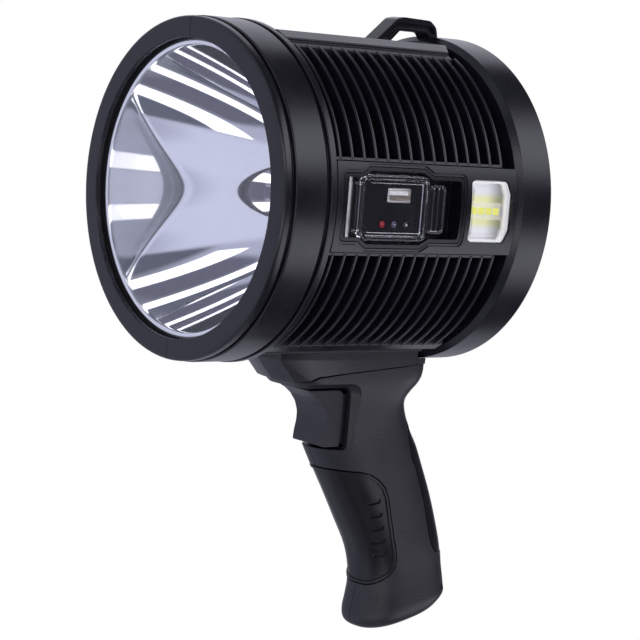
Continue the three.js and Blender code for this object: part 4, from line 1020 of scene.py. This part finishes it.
def grip_body(drawn=0.0, steps=88, per_span=4):
    """The grip's full form, drawn in all round."""
    loops = []
    for drop, front, back, width, tilt, square in smooth_rows(GRIP_ROWS, per_span):
        near, far = GRIP_START + front * GRIP_SPAN + drawn, GRIP_START + back * GRIP_SPAN - drawn
        half = GRIP_HALF * width - drawn
        bend = 2 / square
        loop = []
        for i in range(steps):
            a = 2 * pi * i / steps
            c, s = cos(a), sin(a)
            x = half * copysign(abs(c) ** bend, c)
            y = (far - near) / 2 * copysign(abs(s) ** bend, s)
            z = GRIP_TOP - drop * GRIP_DROP + BASE_SLOPE * tilt * y
            loop.append((x, (near + far) / 2 + y - HEAD, z))
        loops.append(loop)
    return loops_to_part(loops)


def grip_core(drawn):
    """A coarser body for cutting away what lies deeper than drawn."""
    return grip_body(drawn, 56, 2)


def pad_outline(shares, drawn=0.0):
    return rounded(inset([grip_place(*share) for share in shares], drawn), 6, 4)


SLOT_END, SLOT_TOP, SLOT_LOW = 104.9, -96.4, -128.9
GRIP_SCREWS = [grip_place(*share) for share in
               [(0.565, 0.145), (0.45, 0.36), (0.745, 0.665), (0.735, 0.915)]]
LANYARD, LANYARD_R = (GRIP_START + GRIP_SPAN - 6.0, GRIP_TOP - 0.885 * GRIP_DROP), 2.4
PAD_DEPTH = 2.4
# The flare of the trigger's recess: width, and share of the full flare.
FLARE = [(15.7, 0.0), (15.9, 0.06), (16.5, 0.3), (17.3, 0.6), (18.1, 0.85), (18.8, 1.0), (40, 1.0)]


def trigger_slot(share):
    """Side outline of the trigger's recess, from 0 at its wall to 1 at its flared edge."""
    low, top, end = SLOT_LOW - 2.2 * share, SLOT_TOP + 2.5 * share, SLOT_END + 4.0 * share
    return rounded([(0, low), (end, low - 0.8 * share), (end, top), (0, top)],
                   [0, 2.5 + 3 * share, 5.0 + 3 * share, 0], 7)


def grip_half(side, word):
    """Half of the grip with the trigger's recess, the inserts' pockets and its holes."""
    body = raw(f"grip_shell_{word}", grip_body())
    x0, x1 = (SEAM, WIDE) if side > 0 else (-WIDE, -SEAM)
    keep(body, brick((x0, 0, -260), (x1, 260, 0)))
    carve(body, [
        across(beyond_seam(0.45, 0), -WIDE, WIDE),
        across(trigger_slot(0), -WIDE, WIDE),
        loops_to_part([layer(trigger_slot(share), side * x) for x, share in FLARE]),
        brick((-12.8, 60, -127.6), (12.8, 112, -97.8)),
        rod("x", LANYARD_R, -WIDE, WIDE, *LANYARD, 40),
        drum(CAP_CLEAR_R, PLATE_END),
    ])
    for shares in (FRONT_PAD, REAR_PAD):
        pocket = raw("pocket", across(pad_outline(shares), -WIDE, WIDE))
        carve_by(body, carve(pocket, [grip_core(PAD_DEPTH)]))
    if side < 0:
        carve(body, [rod("x", SCREW_R, -WIDE, -10.5, t, z, 40) for t, z in GRIP_SCREWS])
    return body


for side, word in SIDES:
    finish(grip_half(side, word), "grip_black", f"grip_{word}", angle=28)

# Soft inserts


def pad(name, shares, lift):
    """A soft insert, a little below the grip's surface, with a rounded bead lifted round its edge."""
    body = raw(name, grip_body(0.35))
    keep(body, across(pad_outline(shares, 0.75), -WIDE, WIDE))
    carve(body, [grip_core(2.2)])
    bead = raw("bead", grip_body(-lift))
    keep(bead, across(pad_outline(shares, 0.77), -WIDE, WIDE))
    carve(bead, [across(pad_outline(shares, 2.1), -WIDE, WIDE), grip_core(1.4)])
    return unite(body, chamfer(bead, 0.4, 3, 50))


GROOVES = [(126.5, -157), (128.6, -164.2), (130.7, -171.4), (132.8, -178.6), (134.6, -185.8)]
GROOVE_TILT, GROOVE_DEPTH = radians(12), 1.3
GROOVE_BAR = [(-3.6, -1.1), (3.6, -1.1), (3.6, 1.1), (-3.6, 1.1)]


def carve_grooves(body):
    """Short grooves on both sides, which follow the surface a little way in."""
    c, s = cos(GROOVE_TILT), sin(GROOVE_TILT)
    bars = []
    for t, z in GROOVES:
        points = [(t + u * c - v * s, z + u * s + v * c) for u, v in rounded(GROOVE_BAR, 1.1, 5)]
        bars += [across(points, 11.5, 30), across(points, -30, -11.5)]
    return carve_by(body, carve(raw("grooves", *bars), [grip_core(GROOVE_DEPTH)]))


front_pad = carve_grooves(pad("grip_insert_front", FRONT_PAD, 0.35))
finish(front_pad, "soft_insert", "grip_front_pad", angle=28)
rear_pad = pad("grip_insert_rear", REAR_PAD, 0.0)
finish(rear_pad, "soft_insert", "grip_rear_pad", angle=28)

# Trigger

BLADE_END, FLANGE_FRONT = 103.2, 107.9
BLADE_HALF, BLADE_TOP = 12.5, -98.1
STEM_R, STEM_Z = 3.0, -112.7


def trigger():
    """The blade with its hollowed front, the neck behind it, the flange and the stem."""
    outline = eased([
        (80.2, BLADE_TOP, 1.2), (83.8, -99.8, 6), (87.8, -102.9, 6), (91.2, -107.2, 8), (93.1, -112.4, 8),
        (93.0, -117.2, 8), (92.0, -122.4, 6), (91.6, -127.2, 1.2), (BLADE_END - 0.9, -127.3, 1.8),
        (BLADE_END + 0.2, -113, 8), (BLADE_END - 0.3, BLADE_TOP, 5.0),
    ], 6)
    blade = chamfer(raw("trigger_blade", across(outline, -BLADE_HALF, BLADE_HALF)), 0.9, 4, 40)
    rest = raw("rest", brick((-11.6, BLADE_END - 4, -125.6), (11.6, FLANGE_FRONT + 0.4, -100.2)),
               brick((-13.6, FLANGE_FRONT, -128.4), (13.6, FLANGE_FRONT + 1.5, -97.0)),
               rod("y", STEM_R, FLANGE_FRONT + 0.5, FLANGE_FRONT + 6.5, 0, STEM_Z, 32))
    return join_objects(blade, [rest])


finish(trigger(), "trigger_black", "trigger", body="trigger", angle=40)

# Finishes for the CAD nodes that stay as they are

for sub in frame["record"]["subparts"]:
    if sub["material_slot"] in FINISHES:
        dress(frame["nodes"][sub["node"]], sub["material_slot"])
# The lamp's board gets the same painted light and shade as the tray.
dress(frame["nodes"]["side_lamp_board"], "lamp_white")

# Floor and studio

FLOOR_R, FLOOR_BOTTOM, FLOOR_TOP, FLOOR_SIDES = 170, -422, -420, 64


def backdrop_material(name):
    """A pale floor, which the camera sees as plain white."""
    tree = new_material(name)
    pale = add(tree, "BsdfDiffuse", {"Color": (0.8, 0.8, 0.82, 1)})["BSDF"]
    white = add(tree, "Emission", {"Strength": 1.0})["Emission"]
    surface(tree, by_ray(tree, "Is Camera Ray", pale, white))


turns = [2 * pi * k / FLOOR_SIDES for k in range(FLOOR_SIDES)]
disc = [(FLOOR_R * cos(a), HEAD / 2 + FLOOR_R * sin(a)) for a in turns]
floor = raw("floor", upward(disc, FLOOR_BOTTOM, FLOOR_TOP))
backdrop_material("backdrop_white")
dress(floor, "backdrop_white")

ROOM_TINT = (0.30, 0.31, 0.37)
# Patches of the room, later ones over earlier ones: a range of azimuth and one of elevation, how
# soft the edges are, all in degrees, and the colour. Azimuth 0 lies before the front glass.
STUDIO = [
    # Dim walls that the bowl mirrors, with two bright bands across them.
    (-75, 40, -60, 60, 8, (0.50, 0.52, 0.66)),
    (-28, 22, -40, 40, 5, (0.74, 0.76, 0.94)),
    (24, 66, 28, 48, 3, (0.09, 0.10, 0.14)),
    (24, 66, -50, -27, 3, (0.08, 0.09, 0.13)),
    (37, 63, -12, 15, 3, (0.11, 0.11, 0.16)),
    (72, 86, -9, 17, 1, (0.62, 0.63, 0.78)),
    (68, 88, 30, 75, 3, (0.16, 0.17, 0.21)),
    (68, 88, -62, -22, 2, (0.30, 0.31, 0.39)),
    (23, 86, 17.5, 29.5, 1.0, (2.6, 2.6, 2.7)),
    (30, 84, -22.5, -10, 1.0, (2.4, 2.4, 2.5)),
    # Dark room beside and behind the barrel.
    (96, 200, -95, 95, 4, (0.075, 0.075, 0.095)),
    (-200, -152, -95, 95, 6, (0.06, 0.06, 0.08)),
    # Soft panels that the top of the barrel and its side reflect.
    (-152, -96, 4, 54, 6, (0.88, 0.88, 1.02)),
    (-165, -96, -60, -6, 6, (0.5, 0.5, 0.6)),
    (110, 168, 16, 39, 6, (2.9, 2.9, 3.35)),
    (112, 168, -35, -14, 6, (2.2, 2.2, 2.55)),
    (131, 170, -36, 40, 4, (0.075, 0.075, 0.095)),
    (129, 168, 16, 39, 6, (1.9, 1.9, 2.2)),
    (129, 168, -35, -14, 6, (1.75, 1.75, 2.0)),
]


def studio_world():
    """A room of soft patches round the object, which the camera sees as plain white."""
    world = bpy.data.worlds.new("studio")
    bpy.context.scene.world = world
    world.use_nodes = True
    tree = world.node_tree
    tree.nodes.clear()
    way = add(tree, "SeparateXYZ", {"Vector": add(tree, "TexCoord")["Generated"]})
    degrees = 180 / pi
    frontward = maths(tree, "MULTIPLY", way["Y"], -1.0)
    azimuth = maths(tree, "MULTIPLY", maths(tree, "ARCTAN2", way["X"], frontward), degrees)
    height = maths(tree, "MULTIPLY", maths(tree, "ARCSINE", way["Z"]), degrees)

    def within(value, low, high, soft):
        """1 between low and high, 0 outside them."""
        rise = span_map(tree, value, low - soft, low + soft)
        fall = span_map(tree, value, high - soft, high + soft)
        return maths(tree, "SUBTRACT", rise, fall)

    colour = (*ROOM_TINT, 1)
    for az0, az1, el0, el1, soft, tint in STUDIO:
        patch = maths(tree, "MULTIPLY", within(azimuth, az0, az1, soft), within(height, el0, el1, soft))
        colour = blend(tree, patch, colour, (*tint, 1))
    soft_light = add(tree, "Background", {"Color": colour})["Background"]
    white = add(tree, "Background", {"Color": (1, 1, 1, 1)})["Background"]
    add(tree, "OutputWorld", {"Surface": by_ray(tree, "Is Camera Ray", soft_light, white)})


studio_world()

# Camera, fitted to the photo: its direction and roll, its distance and offsets, and its lens

AZIMUTH, ELEVATION, ROLL = radians(50.90), radians(6.26), radians(4.63)
REACH, ASIDE, DOWN, TARGET_Y = 1050.96, 66.90, 62.76, 166.5
FOCAL_PIXELS, PICTURE_PIXELS, SENSOR = 2199.9, 640, 36.0


def place_camera():
    back = Vector((sin(AZIMUTH) * cos(ELEVATION), -cos(AZIMUTH) * cos(ELEVATION), sin(ELEVATION)))
    level = Vector((0, 0, 1)).cross(back).normalized()
    rise = back.cross(level)
    right = level * cos(ROLL) + rise * sin(ROLL)
    up = rise * cos(ROLL) - level * sin(ROLL)
    place = back * REACH + right * ASIDE - up * DOWN - Vector((0, TARGET_Y, 0))
    lens = bpy.data.cameras.new("camera")
    lens.sensor_width = SENSOR
    lens.lens = FOCAL_PIXELS / PICTURE_PIXELS * SENSOR
    lens.clip_start = 0.05
    lens.clip_end = 20.0
    camera = bpy.data.objects.new("camera", lens)
    bpy.context.scene.collection.objects.link(camera)
    basis = Matrix((right, up, back)).transposed().to_4x4()
    camera.matrix_world = Matrix.Translation(place * MM) @ basis
    bpy.context.scene.camera = camera


place_camera()
